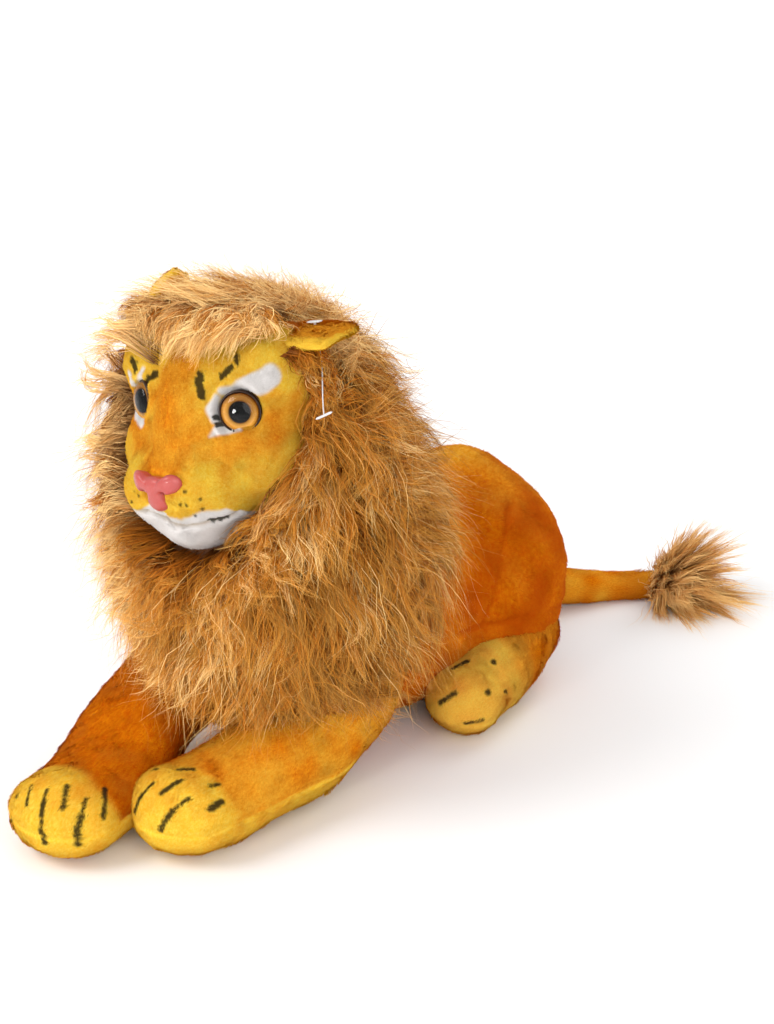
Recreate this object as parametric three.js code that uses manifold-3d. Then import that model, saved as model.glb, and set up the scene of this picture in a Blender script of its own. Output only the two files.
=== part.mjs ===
// Plush lion that lies on its belly: forepaws stretched forward, long pile mane, tufted tail.
// Millimetres. The lion faces -Y, its own left is +X, up is +Z and the floor is z = 0.
// The origin is the middle of the flat patch of the belly that meets the floor.
import * as THREE from 'three';
import { mergeVertices } from 'three/addons/utils/BufferGeometryUtils.js';
import Module from 'manifold-3d';

const wasm = await Module();
wasm.setup();

// Driving dimensions
const body = { length: 236, width: 108, height: 118 };
const head = { width: 92, depth: 84, height: 88, rollDegrees: 7, yawDegrees: 3 };
const mane = { width: 156, depth: 140, height: 226 };
const frontLeg = {
  length: 124, rightLead: 32, drift: 9, pawWidth: 56, pawHeight: 40, wrist: 42, forearm: 50, shoulder: 54,
};
const hindFoot = {
  length: 66, pawWidth: 44, pawHeight: 36, archWidth: 48, archHeight: 44, heelWidth: 52, heelHeight: 50,
};
const haunch = { width: 64, length: 94, height: 104 };
const tail = { length: 112, rootWidth: 25, endWidth: 16.5, rootLift: 10, seatDepth: 2 };
const tuft = { length: 62, width: 46, sewnLength: 5 };
const ear = { length: 38, width: 35, rootWidth: 25, thickness: 7, cup: 5 };
const eye = { diameter: 18, spread: 54, lift: 11 };
const nose = { width: 24, height: 18, depth: 6 };
const fastener = {
  length: 44, thread: 1.2, paddleWidth: 8, barLength: 9, fromFold: 14, forwardDegrees: 30, outwardDegrees: 20,
};

// Cloth, joints of the cloth and clearances
const wall = 3;
const seamGap = 0.3;
const gap = 0.3;
const floorFlat = 0.5;
const earClearance = 0.8;
const room = 1400;

// Fineness of the forms: how often an edge of the base solid is divided
const medium = 4;
const plain = 3;
const coarse = 2;
const coarsest = 1;
const limbFineness = { sides: 10, caps: 3 };
const innerFineness = { sides: 7, caps: 2 };
const roundSides = 16;
const washerSides = 10;

const degree = Math.PI / 180;
const left = 1;
const right = -1;
const sides = { left, right };
const up = new THREE.Vector3(0, 0, 1);
const forward = new THREE.Vector3(0, -1, 0);

function place(x, y, z) {
  return new THREE.Vector3(x, y, z);
}

// Solids: a closed geometry becomes a solid that can be cut and joined

function solidOf(geometry) {
  const bare = new THREE.BufferGeometry();
  bare.setAttribute('position', geometry.getAttribute('position'));
  bare.setIndex(geometry.getIndex());
  const merged = mergeVertices(bare);
  const index = merged.getIndex().array;
  const kept = [];
  for (let i = 0; i < index.length; i += 3) {
    const [a, b, c] = [index[i], index[i + 1], index[i + 2]];
    if (a !== b && b !== c && c !== a) kept.push(a, b, c);
  }
  const vertProperties = new Float32Array(merged.getAttribute('position').array);
  const triVerts = new Uint32Array(kept);
  return new wasm.Manifold(new wasm.Mesh({ numProp: 3, vertProperties, triVerts }));
}

function geometryOf(solid) {
  const mesh = solid.getMesh();
  const geometry = new THREE.BufferGeometry();
  geometry.setAttribute('position', new THREE.BufferAttribute(mesh.vertProperties, 3));
  geometry.setIndex(new THREE.BufferAttribute(mesh.triVerts, 1));
  geometry.computeVertexNormals();
  return geometry;
}

function cutBy(solid, cutters) {
  return cutters.reduce((rest, cutter) => rest.subtract(cutter), solid);
}

// A cut can leave crumbs where two surfaces graze, so the piece is its largest body
function mainBody(solid) {
  return solid.decompose().reduce((best, next) => (next.volume() > best.volume() ? next : best));
}

// All space beyond a plane, as one block
function beyond(point, normal) {
  const block = new THREE.BoxGeometry(room, room, room);
  block.translate(0, 0, room / 2);
  block.applyQuaternion(new THREE.Quaternion().setFromUnitVectors(up, normal));
  block.translate(point.x, point.y, point.z);
  return solidOf(block);
}

const aboveFloor = beyond(place(0, 0, 0), up);

// The two panels that meet in a straight seam: the one the normal points to comes first
function sewnPair(solid, point, normal) {
  const half = normal.clone().multiplyScalar(seamGap / 2);
  const first = solid.intersect(beyond(point.clone().add(half), normal));
  const second = solid.intersect(beyond(point.clone().sub(half), normal.clone().negate()));
  return [first, second];
}

// Forms: lumps that swell into one another, seen from a core that every ray leaves once

function lump(at, size) {
  return { at, radii: size.clone().multiplyScalar(0.5) };
}

function lumpDistance(x, y, z, { at, radii }) {
  const [u, v, w] = [(x - at.x) / radii.x, (y - at.y) / radii.y, (z - at.z) / radii.z];
  const near = Math.hypot(u, v, w);
  const slope = Math.hypot(u / radii.x, v / radii.y, w / radii.z);
  return slope > 0 ? near * (near - 1) / slope : -Math.min(radii.x, radii.y, radii.z);
}

function formDistance(form, x, y, z) {
  let distance = Infinity;
  for (const piece of form.lumps) {
    const next = lumpDistance(x, y, z, piece);
    const overlap = Math.max(1 - Math.abs(distance - next) / form.blend, 0);
    distance = Math.min(distance, next) - overlap * overlap * form.blend / 4;
  }
  return distance;
}

// Distance from a point to the outermost surface along a direction
function reachAlong(form, from, direction, level = 0) {
  const marchSteps = 70;
  const halvings = 22;
  const outsideAt = (t) => formDistance(
    form, from.x + direction.x * t, from.y + direction.y * t, from.z + direction.z * t,
  ) > level;
  let far = form.reach;
  let near = far;
  while (near > 0 && outsideAt(near)) {
    far = near;
    near -= form.reach / marchSteps;
  }
  for (let i = 0; i < halvings; i += 1) {
    const middle = (near + far) / 2;
    if (outsideAt(middle)) far = middle;
    else near = middle;
  }
  return near;
}

function surfacePoint(form, from, direction, level = 0) {
  return direction.clone().multiplyScalar(reachAlong(form, from, direction, level)).add(from);
}

function makeForm(core, lumps, blend, frame = new THREE.Matrix4()) {
  const box = new THREE.Box3();
  for (const { at, radii } of lumps) {
    box.expandByPoint(at.clone().add(radii));
    box.expandByPoint(at.clone().sub(radii));
  }
  const stretch = box.getSize(new THREE.Vector3());
  return { core, lumps, blend, frame, stretch, reach: stretch.length() };
}

// Moves a form up or down until it sinks into the floor by the flat that is cut there
function settle(form) {
  const lowest = surfacePoint(form, form.core, up.clone().negate()).z;
  const rise = place(0, 0, -floorFlat - lowest);
  form.core.add(rise);
  form.lumps.forEach(({ at }) => at.add(rise));
  return form;
}

function swell(form, level, detail) {
  const geometry = new THREE.IcosahedronGeometry(1, detail);
  const points = geometry.getAttribute('position');
  for (let i = 0; i < points.count; i += 1) {
    const direction = new THREE.Vector3().fromBufferAttribute(points, i).multiply(form.stretch).normalize();
    const point = surfacePoint(form, form.core, direction, level);
    points.setXYZ(i, point.x, point.y, point.z);
  }
  geometry.applyMatrix4(form.frame);
  return solidOf(geometry);
}

// Lofts: closed skins over a row of rings, with a point at each end

function loft(start, rings, end) {
  const count = rings[0].length;
  const points = [start, ...rings.flat(), end];
  const last = points.length - 1;
  const index = [];
  for (let j = 0; j < count; j += 1) {
    const k = (j + 1) % count;
    index.push(0, 1 + k, 1 + j);
    for (let i = 0; i + 1 < rings.length; i += 1) {
      const [a, b] = [1 + i * count + j, 1 + i * count + k];
      index.push(a, b, b + count, a, b + count, a + count);
    }
    const base = 1 + (rings.length - 1) * count;
    index.push(last, base + j, base + k);
  }
  const geometry = new THREE.BufferGeometry().setFromPoints(points);
  geometry.setIndex(index);
  return geometry;
}

// A limb follows its spine with a round end of its own width at each end
function limb({ spine, widths, heights, steps, level = 0 }) {
  const { sides: count, caps } = level < 0 ? innerFineness : limbFineness;
  const curve = new THREE.CatmullRomCurve3(spine);
  const sizeAt = (sizes, t) => {
    const slot = Math.min(Math.floor(t * (sizes.length - 1)), sizes.length - 2);
    const local = t * (sizes.length - 1) - slot;
    const smooth = local * local * (3 - 2 * local);
    return (sizes[slot] + (sizes[slot + 1] - sizes[slot]) * smooth) / 2 + level;
  };
  const ringAt = (t, shift, share) => {
    const along = curve.getTangent(t);
    const side = new THREE.Vector3().crossVectors(up, along).normalize();
    const rise = new THREE.Vector3().crossVectors(along, side);
    const centre = curve.getPoint(t).addScaledVector(along, shift);
    const ring = [];
    for (let j = 0; j < count; j += 1) {
      const angle = 2 * Math.PI * (j / count) - Math.PI / 2;
      ring.push(centre.clone()
        .addScaledVector(side, Math.cos(angle) * share * sizeAt(widths, t))
        .addScaledVector(rise, Math.sin(angle) * share * sizeAt(heights, t)));
    }
    return ring;
  };
  const capDepth = (t) => (sizeAt(widths, t) + sizeAt(heights, t)) / 2;
  const pole = (t, sign) => curve.getPoint(t).addScaledVector(curve.getTangent(t), sign * capDepth(t));
  const rings = [];
  for (let i = 1; i < caps; i += 1) {
    const angle = i * Math.PI / 2 / caps;
    rings.push(ringAt(0, -capDepth(0) * Math.cos(angle), Math.sin(angle)));
  }
  for (let i = 0; i <= steps; i += 1) rings.push(ringAt(i / steps, 0, 1));
  for (let i = caps - 1; i > 0; i -= 1) {
    const angle = i * Math.PI / 2 / caps;
    rings.push(ringAt(1, capDepth(1) * Math.cos(angle), Math.sin(angle)));
  }
  return solidOf(loft(pole(0, -1), rings, pole(1, 1)));
}

// Rigid shapes that are turned on an axis: the profile runs from the axis to the axis
function turned(profile, frame, count = roundSides) {
  const geometry = new THREE.LatheGeometry(profile.map(([r, h]) => new THREE.Vector2(r, h)), count);
  geometry.rotateX(Math.PI / 2);
  geometry.applyMatrix4(frame);
  return solidOf(geometry);
}

function rod(radius, from, to, frame) {
  return turned([[0, from], [radius, from], [radius, to], [0, to]], frame);
}

// A frame at a point whose own Z looks along a direction
function frameAt(point, direction) {
  const turn = new THREE.Quaternion().setFromUnitVectors(up, direction);
  return new THREE.Matrix4().compose(point, turn, place(1, 1, 1));
}

// Materials by piece

function cloth(color) {
  return new THREE.MeshStandardMaterial({ color, roughness: 0.95, metalness: 0 });
}

function moulded(color, roughness) {
  return new THREE.MeshStandardMaterial({ color, roughness, metalness: 0 });
}

const plush = {
  rust: cloth('#c8671c'),
  amber: cloth('#dd9a34'),
  yellow: cloth('#e2b341'),
  white: cloth('#efeae0'),
  mane: cloth('#b5793c'),
  filling: cloth('#f2f0ea'),
};
const hard = {
  lens: moulded('#d8c9a8', 0.05),
  eye: moulded('#3a1c08', 0.2),
  washer: moulded('#dcdcd8', 0.6),
  nose: moulded('#cf6a66', 0.25),
  nylon: moulded('#e8e8e6', 0.4),
};

const lion = new THREE.Group();

function addPiece(name, solid, material) {
  const mesh = new THREE.Mesh(geometryOf(mainBody(solid)), material);
  mesh.name = name;
  lion.add(mesh);
}

// Torso: chest, trunk, rump and neck in one skin

const torsoShares = {
  chest: { at: [0, -0.19, 0.62], size: [0.96, 0.46, 1.2] },
  trunk: { at: [0, 0, 0.5], size: [0.98, 0.7, 1] },
  rump: { at: [0, 0.33, 0.5], size: [0.86, 0.38, 0.97] },
  neck: { at: [0, -0.31, 1.06], size: [0.72, 0.32, 0.72] },
  core: [0, 0, 0.55],
  blend: 0.16,
};

function inBody([x, y, z]) {
  return place(x * body.width, y * body.length, z * body.height);
}

function bodyLump({ at, size }) {
  return lump(inBody(at), inBody(size));
}

const { chest, trunk, rump, neck } = torsoShares;
const torsoForm = settle(makeForm(
  inBody(torsoShares.core),
  [chest, trunk, rump, neck].map(bodyLump),
  torsoShares.blend * body.height,
));
const torsoCutter = swell(torsoForm, gap, medium);

// Tail root: its round end sits in a shallow hollow of the rump, on the floor

const tailRise = tail.rootWidth / 2 + tail.rootLift;
const tailDistance = tail.rootWidth / 2 - tail.seatDepth;
const tailRoot = surfacePoint(
  torsoForm, place(0, 0, tailRise), forward.clone().negate(), tailDistance,
);
const tailPathShares = [[0, 0], [0.1, 0.28], [0.27, 0.55], [0.53, 0.78]];
const tailRest = tail.endWidth / 2 - floorFlat;
const tailSpine = tailPathShares.map(([side, back]) => place(
  tailRoot.x + side * tail.length,
  tailRoot.y + back * tail.length,
  tailRise + (tailRest - tailRise) * Math.min(back * 2, 1),
));

function tailTube(level) {
  const widths = [tail.rootWidth, tail.endWidth];
  return limb({ spine: tailSpine, widths, heights: widths, steps: 6, level });
}

function addTorso() {
  const bellySeamShare = 0.2;
  const socket = new THREE.SphereGeometry(tail.rootWidth / 2 + gap, roundSides, roundSides / 2);
  socket.translate(tailRoot.x, tailRoot.y, tailRoot.z);
  const outer = swell(torsoForm, 0, medium).intersect(aboveFloor);
  const skin = cutBy(outer, [swell(torsoForm, -wall, coarse), solidOf(socket)]);
  const belly = place(0, 0, bellySeamShare * body.height);
  const [bellySkin, backSkin] = sewnPair(skin, belly, up.clone().negate());
  const [leftSkin, rightSkin] = sewnPair(backSkin, place(0, 0, 0), place(1, 0, 0));
  addPiece('torso_left_cover', leftSkin, plush.rust);
  addPiece('torso_right_cover', rightSkin, plush.rust);
  addPiece('belly_cover', bellySkin, plush.rust);
  addPiece('torso_filling', swell(torsoForm, -wall - gap, coarse), plush.filling);
}

addTorso();

// Haunches: the folded thighs on both sides of the rump

const haunchShares = {
  thigh: { at: [0.29, 0.29] },
  blend: 0.1,
};

function haunchForm(side) {
  const [x, y] = haunchShares.thigh.at;
  const at = place(side * x * body.width, y * body.length, haunch.height / 2);
  const size = place(haunch.width, haunch.length, haunch.height);
  return settle(makeForm(at.clone(), [lump(at, size)], haunchShares.blend * body.height));
}

const haunchForms = { left: haunchForm(left), right: haunchForm(right) };
const haunchCutters = {
  left: swell(haunchForms.left, gap, plain),
  right: swell(haunchForms.right, gap, plain),
};

function addHaunch(name) {
  const form = haunchForms[name];
  const outer = swell(form, 0, plain).intersect(aboveFloor);
  const skin = cutBy(outer, [swell(form, -wall, coarsest), torsoCutter]);
  const filling = cutBy(swell(form, -wall - gap, coarsest), [torsoCutter]);
  addPiece(`haunch_cover_${name}`, skin, plush.rust);
  addPiece(`haunch_filling_${name}`, filling, plush.filling);
}

Object.keys(sides).forEach(addHaunch);

// Hind feet: each lies along the belly and points forward

const footPathShares = [[0.34, 1], [0.43, 0.5], [0.48, 0]];
const heelShare = 0.32;

function hindLimb(name, level) {
  const widths = [hindFoot.heelWidth, hindFoot.archWidth, hindFoot.pawWidth];
  const heights = [hindFoot.heelHeight, hindFoot.archHeight, hindFoot.pawHeight];
  const spine = footPathShares.map(([x, back], i) => place(
    sides[name] * x * body.width,
    heelShare * body.length - (1 - back) * hindFoot.length,
    heights[i] / 2 - floorFlat,
  ));
  return limb({ spine, widths, heights, steps: 4, level });
}

function addHindFoot(name) {
  const soleSeamShare = 0.28;
  const cutters = [torsoCutter, haunchCutters[name]];
  const skin = cutBy(hindLimb(name, 0).subtract(hindLimb(name, -wall)), cutters).intersect(aboveFloor);
  const seam = place(0, 0, soleSeamShare * hindFoot.pawHeight);
  const [sole, cover] = sewnPair(skin, seam, up.clone().negate());
  addPiece(`hind_foot_cover_${name}`, cover, plush.amber);
  addPiece(`hind_sole_${name}`, sole, plush.yellow);
  addPiece(`hind_foot_filling_${name}`, cutBy(hindLimb(name, -wall - gap), cutters), plush.filling);
}

Object.keys(sides).forEach(addHindFoot);

// Front legs: stretched forward on the floor, the right one further than the left

const legPathShares = [[0.19, 1, 0], [0.21, 0.84, 0], [0.26, 0.62, 0.09], [0.31, 0.38, 0.17],
  [0.36, 0.14, 0.46], [0.36, 0, 1]];
const shoulderShares = [-0.15, 0.63];

function frontLimb(name, level) {
  const [shoulderY, shoulderZ] = shoulderShares;
  const low = frontLeg.pawHeight / 2 - floorFlat;
  const length = frontLeg.length + (name === 'right' ? frontLeg.rightLead : 0);
  const spine = legPathShares.map(([x, ahead, rise]) => place(
    sides[name] * x * body.width - ahead * frontLeg.drift,
    shoulderY * body.length - ahead * length,
    low + rise * (shoulderZ * body.height - low),
  ));
  const arm = [frontLeg.wrist, frontLeg.forearm, frontLeg.shoulder];
  const widths = [frontLeg.pawWidth, frontLeg.pawWidth, ...arm];
  const heights = [frontLeg.pawHeight, frontLeg.pawHeight, ...arm];
  return limb({ spine, widths, heights, steps: level < 0 ? 5 : 7, level });
}

const legCutters = { left: frontLimb('left', gap), right: frontLimb('right', gap) };

// The left leg gives way where the right one lies against it
function addFrontLeg(name) {
  const soleSeamShare = 0.45;
  const cutters = name === 'left' ? [torsoCutter, legCutters.right] : [torsoCutter];
  const skin = cutBy(frontLimb(name, 0).subtract(frontLimb(name, -wall)), cutters).intersect(aboveFloor);
  const seam = place(0, 0, soleSeamShare * frontLeg.pawHeight);
  const [sole, cover] = sewnPair(skin, seam, up.clone().negate());
  addPiece(`front_leg_cover_${name}`, cover, plush.amber);
  addPiece(`front_sole_${name}`, sole, plush.yellow);
  addPiece(`front_leg_filling_${name}`, cutBy(frontLimb(name, -wall - gap), cutters), plush.filling);
}

Object.keys(sides).forEach(addFrontLeg);

// Tail: cover, filling and the tuft of long pile round its end

function addTail() {
  const tipBack = tailSpine.at(-1);
  const sewn = tailSpine.at(-2).clone().sub(tipBack).setLength(tuft.sewnLength);
  const start = tipBack.clone().add(sewn);
  const low = tuft.width / 2 - floorFlat;
  const tuftPathShares = [[0, 0], [0.45, -0.05], [0.85, -0.12]];
  const collarShare = 1.3;
  const spine = tuftPathShares.map(([out, back], i) => place(
    start.x + out * tuft.length,
    start.y + back * tuft.length,
    i === 0 ? Math.max(start.z, tuft.width / 4) : low,
  ));
  const widths = [tail.endWidth * collarShare, tuft.width, tuft.width / 2];
  const pile = limb({ spine, widths, heights: widths, steps: 6 });
  const skin = tailTube(0).intersect(aboveFloor).subtract(tailTube(-wall));
  const rootFrame = frameAt(tailSpine[0], forward.clone().negate());
  const rootHole = rod(tail.rootWidth / 4, -tail.rootWidth, 0, rootFrame);
  addPiece('tail_cover', skin.subtract(rootHole), plush.rust);
  addPiece('tail_filling', tailTube(-wall - gap), plush.filling);
  addPiece('tail_tuft', pile.intersect(aboveFloor).subtract(tailTube(gap)), plush.mane);
}

addTail();

// Head: skull, muzzle, bridge, cheeks and chin, turned and rolled a little to one side

const headPlaceShares = { forward: 0.4025, lift: 1.61 };
const headYaw = new THREE.Quaternion().setFromAxisAngle(up, -head.yawDegrees * degree);
const headRoll = new THREE.Quaternion().setFromAxisAngle(forward, head.rollDegrees * degree);
const headFrame = new THREE.Matrix4().compose(
  place(0, -headPlaceShares.forward * body.length, headPlaceShares.lift * body.height),
  headYaw.multiply(headRoll),
  place(1, 1, 1),
);
const headShares = {
  skull: { at: [0, 0, 0], size: [1, 1, 1] },
  muzzle: { at: [0, -0.43, -0.27], size: [0.64, 0.6, 0.45] },
  bridge: { at: [0, -0.43, -0.04], size: [0.32, 0.36, 0.56] },
  leftCheek: { at: [0.28, -0.2, -0.2], size: [0.56, 0.58, 0.56] },
  rightCheek: { at: [-0.28, -0.2, -0.2], size: [0.56, 0.58, 0.56] },
  chin: { at: [0, -0.4, -0.48], size: [0.44, 0.48, 0.3] },
  core: [0, -0.1, -0.14],
  blend: 0.12,
};

function inHead([x, y, z]) {
  return place(x * head.width, y * head.depth, z * head.height);
}

const { skull, muzzle, bridge, leftCheek, rightCheek, chin } = headShares;
const headForm = makeForm(
  inHead(headShares.core),
  [skull, muzzle, bridge, leftCheek, rightCheek, chin].map(({ at, size }) => lump(inHead(at), inHead(size))),
  headShares.blend * head.height,
  headFrame,
);
const headCutter = swell(headForm, gap, medium);

// A frame on the head whose own Z leaves the skin at a point
function headSeat(point, direction) {
  return headFrame.clone().multiply(frameAt(point, direction));
}

const stem = { radius: 2.5, length: 14 };
const washer = { radius: 8, thickness: 1.6, depth: 5.4 };

// A washer pressed on a stem inside the cover, and the hollow that it takes there
function washerRing(frame) {
  const [inner, outer] = [stem.radius + gap, washer.radius];
  const [front, back] = [-washer.depth, -washer.depth - washer.thickness];
  const profile = [[inner, back], [outer, back], [outer, front], [inner, front], [inner, back]];
  return turned(profile, frame, washerSides);
}

function washerHollow(frame, front) {
  const [tight, wide] = [stem.radius + 2 * gap, washer.radius + gap];
  const back = -washer.depth - washer.thickness - gap;
  return turned([[0, -stem.length - gap], [tight, -stem.length - gap], [tight, back], [wide, back],
    [wide, front], [0, front]], frame, washerSides);
}

// Eyes: a dark rim with a moulded stem and a clear dome over the coloured disc

const eyeRim = { width: 1.4, depth: 1.6, sink: 1.4 };
const eyeDome = { height: 5.5, steps: 6 };
const eyeLook = { yawDegrees: 30, pitchDegrees: 4 };

function eyeFrame(side) {
  const yaw = side * eyeLook.yawDegrees * degree;
  const pitch = eyeLook.pitchDegrees * degree;
  const from = place(side * eye.spread / 2, 0, eye.lift);
  const seat = surfacePoint(headForm, from, forward);
  const look = place(Math.sin(yaw) * Math.cos(pitch), -Math.cos(yaw) * Math.cos(pitch), Math.sin(pitch));
  return headSeat(seat.addScaledVector(look, -eyeRim.sink), look);
}

function eyeBase(frame) {
  const rim = eye.diameter / 2 + eyeRim.width;
  const inner = eye.diameter / 2 + gap;
  const edge = rim - eyeRim.width / 2;
  return turned([[0, -stem.length], [stem.radius, -stem.length], [stem.radius, 0], [edge, 0],
    [rim, eyeRim.depth / 2], [edge, eyeRim.depth * 2], [inner, eyeRim.depth * 2],
    [inner, eyeRim.depth], [0, eyeRim.depth]], frame);
}

function eyeLens(frame) {
  const bottom = eyeRim.depth + gap;
  const foot = bottom + eyeRim.width;
  const profile = [[0, bottom], [eye.diameter / 2, bottom]];
  for (let i = 0; i < eyeDome.steps; i += 1) {
    const angle = i * Math.PI / 2 / eyeDome.steps;
    profile.push([Math.cos(angle) * eye.diameter / 2, foot + Math.sin(angle) * eyeDome.height]);
  }
  profile.push([0, foot + eyeDome.height]);
  return turned(profile, frame);
}

// The hollow that the rim takes in the cover, with the hole for its stem
function eyeHollow(frame) {
  const rim = eye.diameter / 2 + eyeRim.width + gap;
  const tight = stem.radius + gap;
  return turned([[0, -stem.length], [tight, -stem.length], [tight, -gap], [rim, -gap],
    [rim, eye.diameter], [0, eye.diameter]], frame);
}

// Nose: a moulded T with wings, nostril notches and a foot, on its own stem

const noseEdge = 1.5;
const noseSink = 1.6;
const noseTiltDegrees = 12;
const noseSeatShare = [0, 0, -0.24];

// Right half of the outline from the foot up: control points by half width and half height
const noseShares = [
  [0.3, -1, 0.3, -0.6, 0.34, -0.2],
  [0.6, -0.5, 1, -0.2, 1, 0.35],
  [1, 0.8, 0.6, 1, 0, 1],
];

function noseFrame() {
  const tilt = noseTiltDegrees * degree;
  const look = place(0, -Math.cos(tilt), Math.sin(tilt));
  const seat = surfacePoint(headForm, inHead(noseSeatShare), forward);
  return headSeat(seat.addScaledVector(look, -noseSink), look);
}

function noseOutline() {
  const [w, h] = [nose.width / 2 - noseEdge, nose.height / 2 - noseEdge];
  const ends = [[0, -1], ...noseShares.map((share) => share.slice(-2))];
  const shape = new THREE.Shape();
  shape.moveTo(0, -h);
  noseShares.forEach(([a, b, c, d, e, f]) => {
    shape.bezierCurveTo(a * w, b * h, c * w, d * h, e * w, f * h);
  });
  noseShares.map(([a, b, c, d], i) => [c, d, a, b, ...ends[i]]).reverse().forEach(([a, b, c, d, e, f]) => {
    shape.bezierCurveTo(-a * w, b * h, -c * w, d * h, -e * w, f * h);
  });
  return shape;
}

function noseBlock(edge, depth, frame) {
  const geometry = new THREE.ExtrudeGeometry(noseOutline(), {
    depth, steps: 1, curveSegments: 3, bevelThickness: edge, bevelSize: edge, bevelSegments: 2,
  });
  geometry.applyMatrix4(frame);
  return solidOf(geometry);
}

function nosePad(frame) {
  return noseBlock(noseEdge, nose.depth - 2 * noseEdge, frame).add(rod(stem.radius, -stem.length, 0, frame));
}

function noseHollow(frame) {
  const hole = rod(stem.radius + gap, -stem.length, 0, frame);
  return noseBlock(noseEdge + gap, nose.height, frame).add(hole);
}

const headSeams = { face: [0, -0.1, 0], mouth: [0, -0.34, -0.39], jawDown: [0, 0.2, -1] };

function addHead() {
  const eyeFrames = { left: eyeFrame(left), right: eyeFrame(right) };
  const noseSeat = noseFrame();
  const seats = [eyeFrames.left, eyeFrames.right, noseSeat];
  const hollows = [eyeHollow(eyeFrames.left), eyeHollow(eyeFrames.right), noseHollow(noseSeat)];
  const washerRooms = seats.map((seat) => washerHollow(seat, gap - washer.depth));
  const outer = swell(headForm, 0, medium);
  const skin = cutBy(outer, [swell(headForm, -wall, coarse), torsoCutter, ...hollows, ...washerRooms]);
  const faceSeam = inHead(headSeams.face).applyMatrix4(headFrame);
  const mouth = inHead(headSeams.mouth).applyMatrix4(headFrame);
  const jawDown = place(...headSeams.jawDown).normalize().transformDirection(headFrame);
  const [faceSkin, backSkin] = sewnPair(skin, faceSeam, forward);
  const [jawSkin, upperSkin] = sewnPair(faceSkin, mouth, jawDown);
  addPiece('face_cover', upperSkin, plush.amber);
  addPiece('chin_cover', jawSkin, plush.white);
  addPiece('head_back_cover', backSkin, plush.rust);
  const openRooms = seats.map((seat) => washerHollow(seat, washer.depth));
  const filling = cutBy(swell(headForm, -wall - gap, coarse), [torsoCutter, ...hollows, ...openRooms]);
  addPiece('head_filling', filling, plush.filling);
  for (const name of Object.keys(sides)) {
    addPiece(`eye_lens_${name}`, eyeLens(eyeFrames[name]), hard.lens);
    addPiece(`eye_base_${name}`, eyeBase(eyeFrames[name]), hard.eye);
    addPiece(`eye_washer_${name}`, washerRing(eyeFrames[name]), hard.washer);
  }
  addPiece('nose', nosePad(noseSeat), hard.nose);
  addPiece('nose_washer', washerRing(noseSeat), hard.washer);
}

addHead();

// Ears: two cupped layers that fold about a line along the top of the head

const earRest = { left: 6, right: 106 };
const earSwing = { left: [0, 75], right: [-80, 0] };
const earSeat = { left: 43, right: 60 };

// Frame of an ear: X along its length, Y along the fold, Z out of its back
function earFrame(name, lift) {
  const side = sides[name];
  const seatAngle = earSeat[name] * degree;
  const seatDirection = place(side * Math.sin(seatAngle), 0, Math.cos(seatAngle));
  const seat = surfacePoint(headForm, place(0, 0, 0), seatDirection);
  seat.addScaledVector(seatDirection, ear.thickness / 2 + gap);
  const length = place(side * Math.cos(lift * degree), 0, Math.sin(lift * degree));
  const back = place(-side * Math.sin(lift * degree), 0, Math.cos(lift * degree));
  const fold = new THREE.Vector3().crossVectors(back, length);
  return headFrame.clone().multiply(new THREE.Matrix4().makeBasis(length, fold, back).setPosition(seat));
}

// Half width of the leaf at a share of its length, and how thick it still is there
const leafWidthShares = [0.72, 0.9, 1, 0.97, 0.86, 0.62, 0.2];
const leafDepthShares = [1, 1, 0.96, 0.9, 0.8, 0.62, 0.3];

// The closed root: how far behind the fold, half width and depth of each ring
const leafRootShares = [[0.9, 0.46, 0.3], [0.5, 0.5, 0.85]];
const leafRimShare = 0.25;

function earLeaf(frame, layer) {
  const steps = leafWidthShares.length - 1;
  const across = 5;
  const half = ear.thickness / 2;
  const section = (u, width, depth) => {
    const sheet = (v) => -ear.cup * (u / ear.length) * (v / (ear.width / 2)) ** 2;
    const ring = [];
    for (let i = 0; i <= across; i += 1) {
      const v = width * Math.cos(i * Math.PI / across);
      const bulge = Math.sin(i * Math.PI / across);
      const puff = leafRimShare + (1 - leafRimShare) * bulge;
      ring.push(place(u, v, sheet(v) + layer * (gap / 2 + (half - gap / 2) * depth * puff)));
    }
    for (let i = across; i >= 0; i -= 1) {
      const v = width * Math.cos(i * Math.PI / across);
      ring.push(place(u, v, sheet(v) + layer * gap / 2));
    }
    return layer > 0 ? ring : ring.reverse();
  };
  const rings = leafRootShares.map(([behind, width, depth]) => (
    section(-half * behind, ear.rootWidth * width, depth)
  ));
  for (let i = 0; i <= steps; i += 1) {
    const width = Math.max(ear.rootWidth * (i === 0), ear.width * leafWidthShares[i]) / 2;
    rings.push(section(i * ear.length / steps, width, leafDepthShares[i]));
  }
  const middle = (ring) => (
    ring.reduce((sum, point) => sum.add(point), place(0, 0, 0)).divideScalar(ring.length)
  );
  const geometry = loft(middle(rings[0]), rings, middle(rings.at(-1)));
  geometry.applyMatrix4(frame);
  return solidOf(geometry);
}

// The space that an ear needs between its two limits
function earSweep(name) {
  const reachOut = ear.length + earClearance;
  const half = ear.thickness / 2 + earClearance;
  const [low, high] = earSwing[name];
  const [start, end] = [low * degree, high * degree];
  const lean = Math.atan(half / reachOut);
  const outline = new THREE.Shape();
  outline.moveTo(half * Math.sin(start), -half * Math.cos(start));
  outline.absarc(0, 0, Math.hypot(reachOut, half), start - lean, end + lean, false);
  outline.absarc(0, 0, half, end + Math.PI / 2, start + 1.5 * Math.PI, false);
  const width = ear.width + 2 * earClearance;
  const geometry = new THREE.ExtrudeGeometry(outline, {
    depth: width, curveSegments: 6, bevelEnabled: false,
  });
  geometry.rotateX(Math.PI / 2);
  geometry.translate(0, width / 2, 0);
  geometry.applyMatrix4(earFrame(name, earRest[name]));
  return solidOf(geometry);
}

// Nylon fastener: a paddle on top of the left ear, a thread through it and a cross bar below

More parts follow.
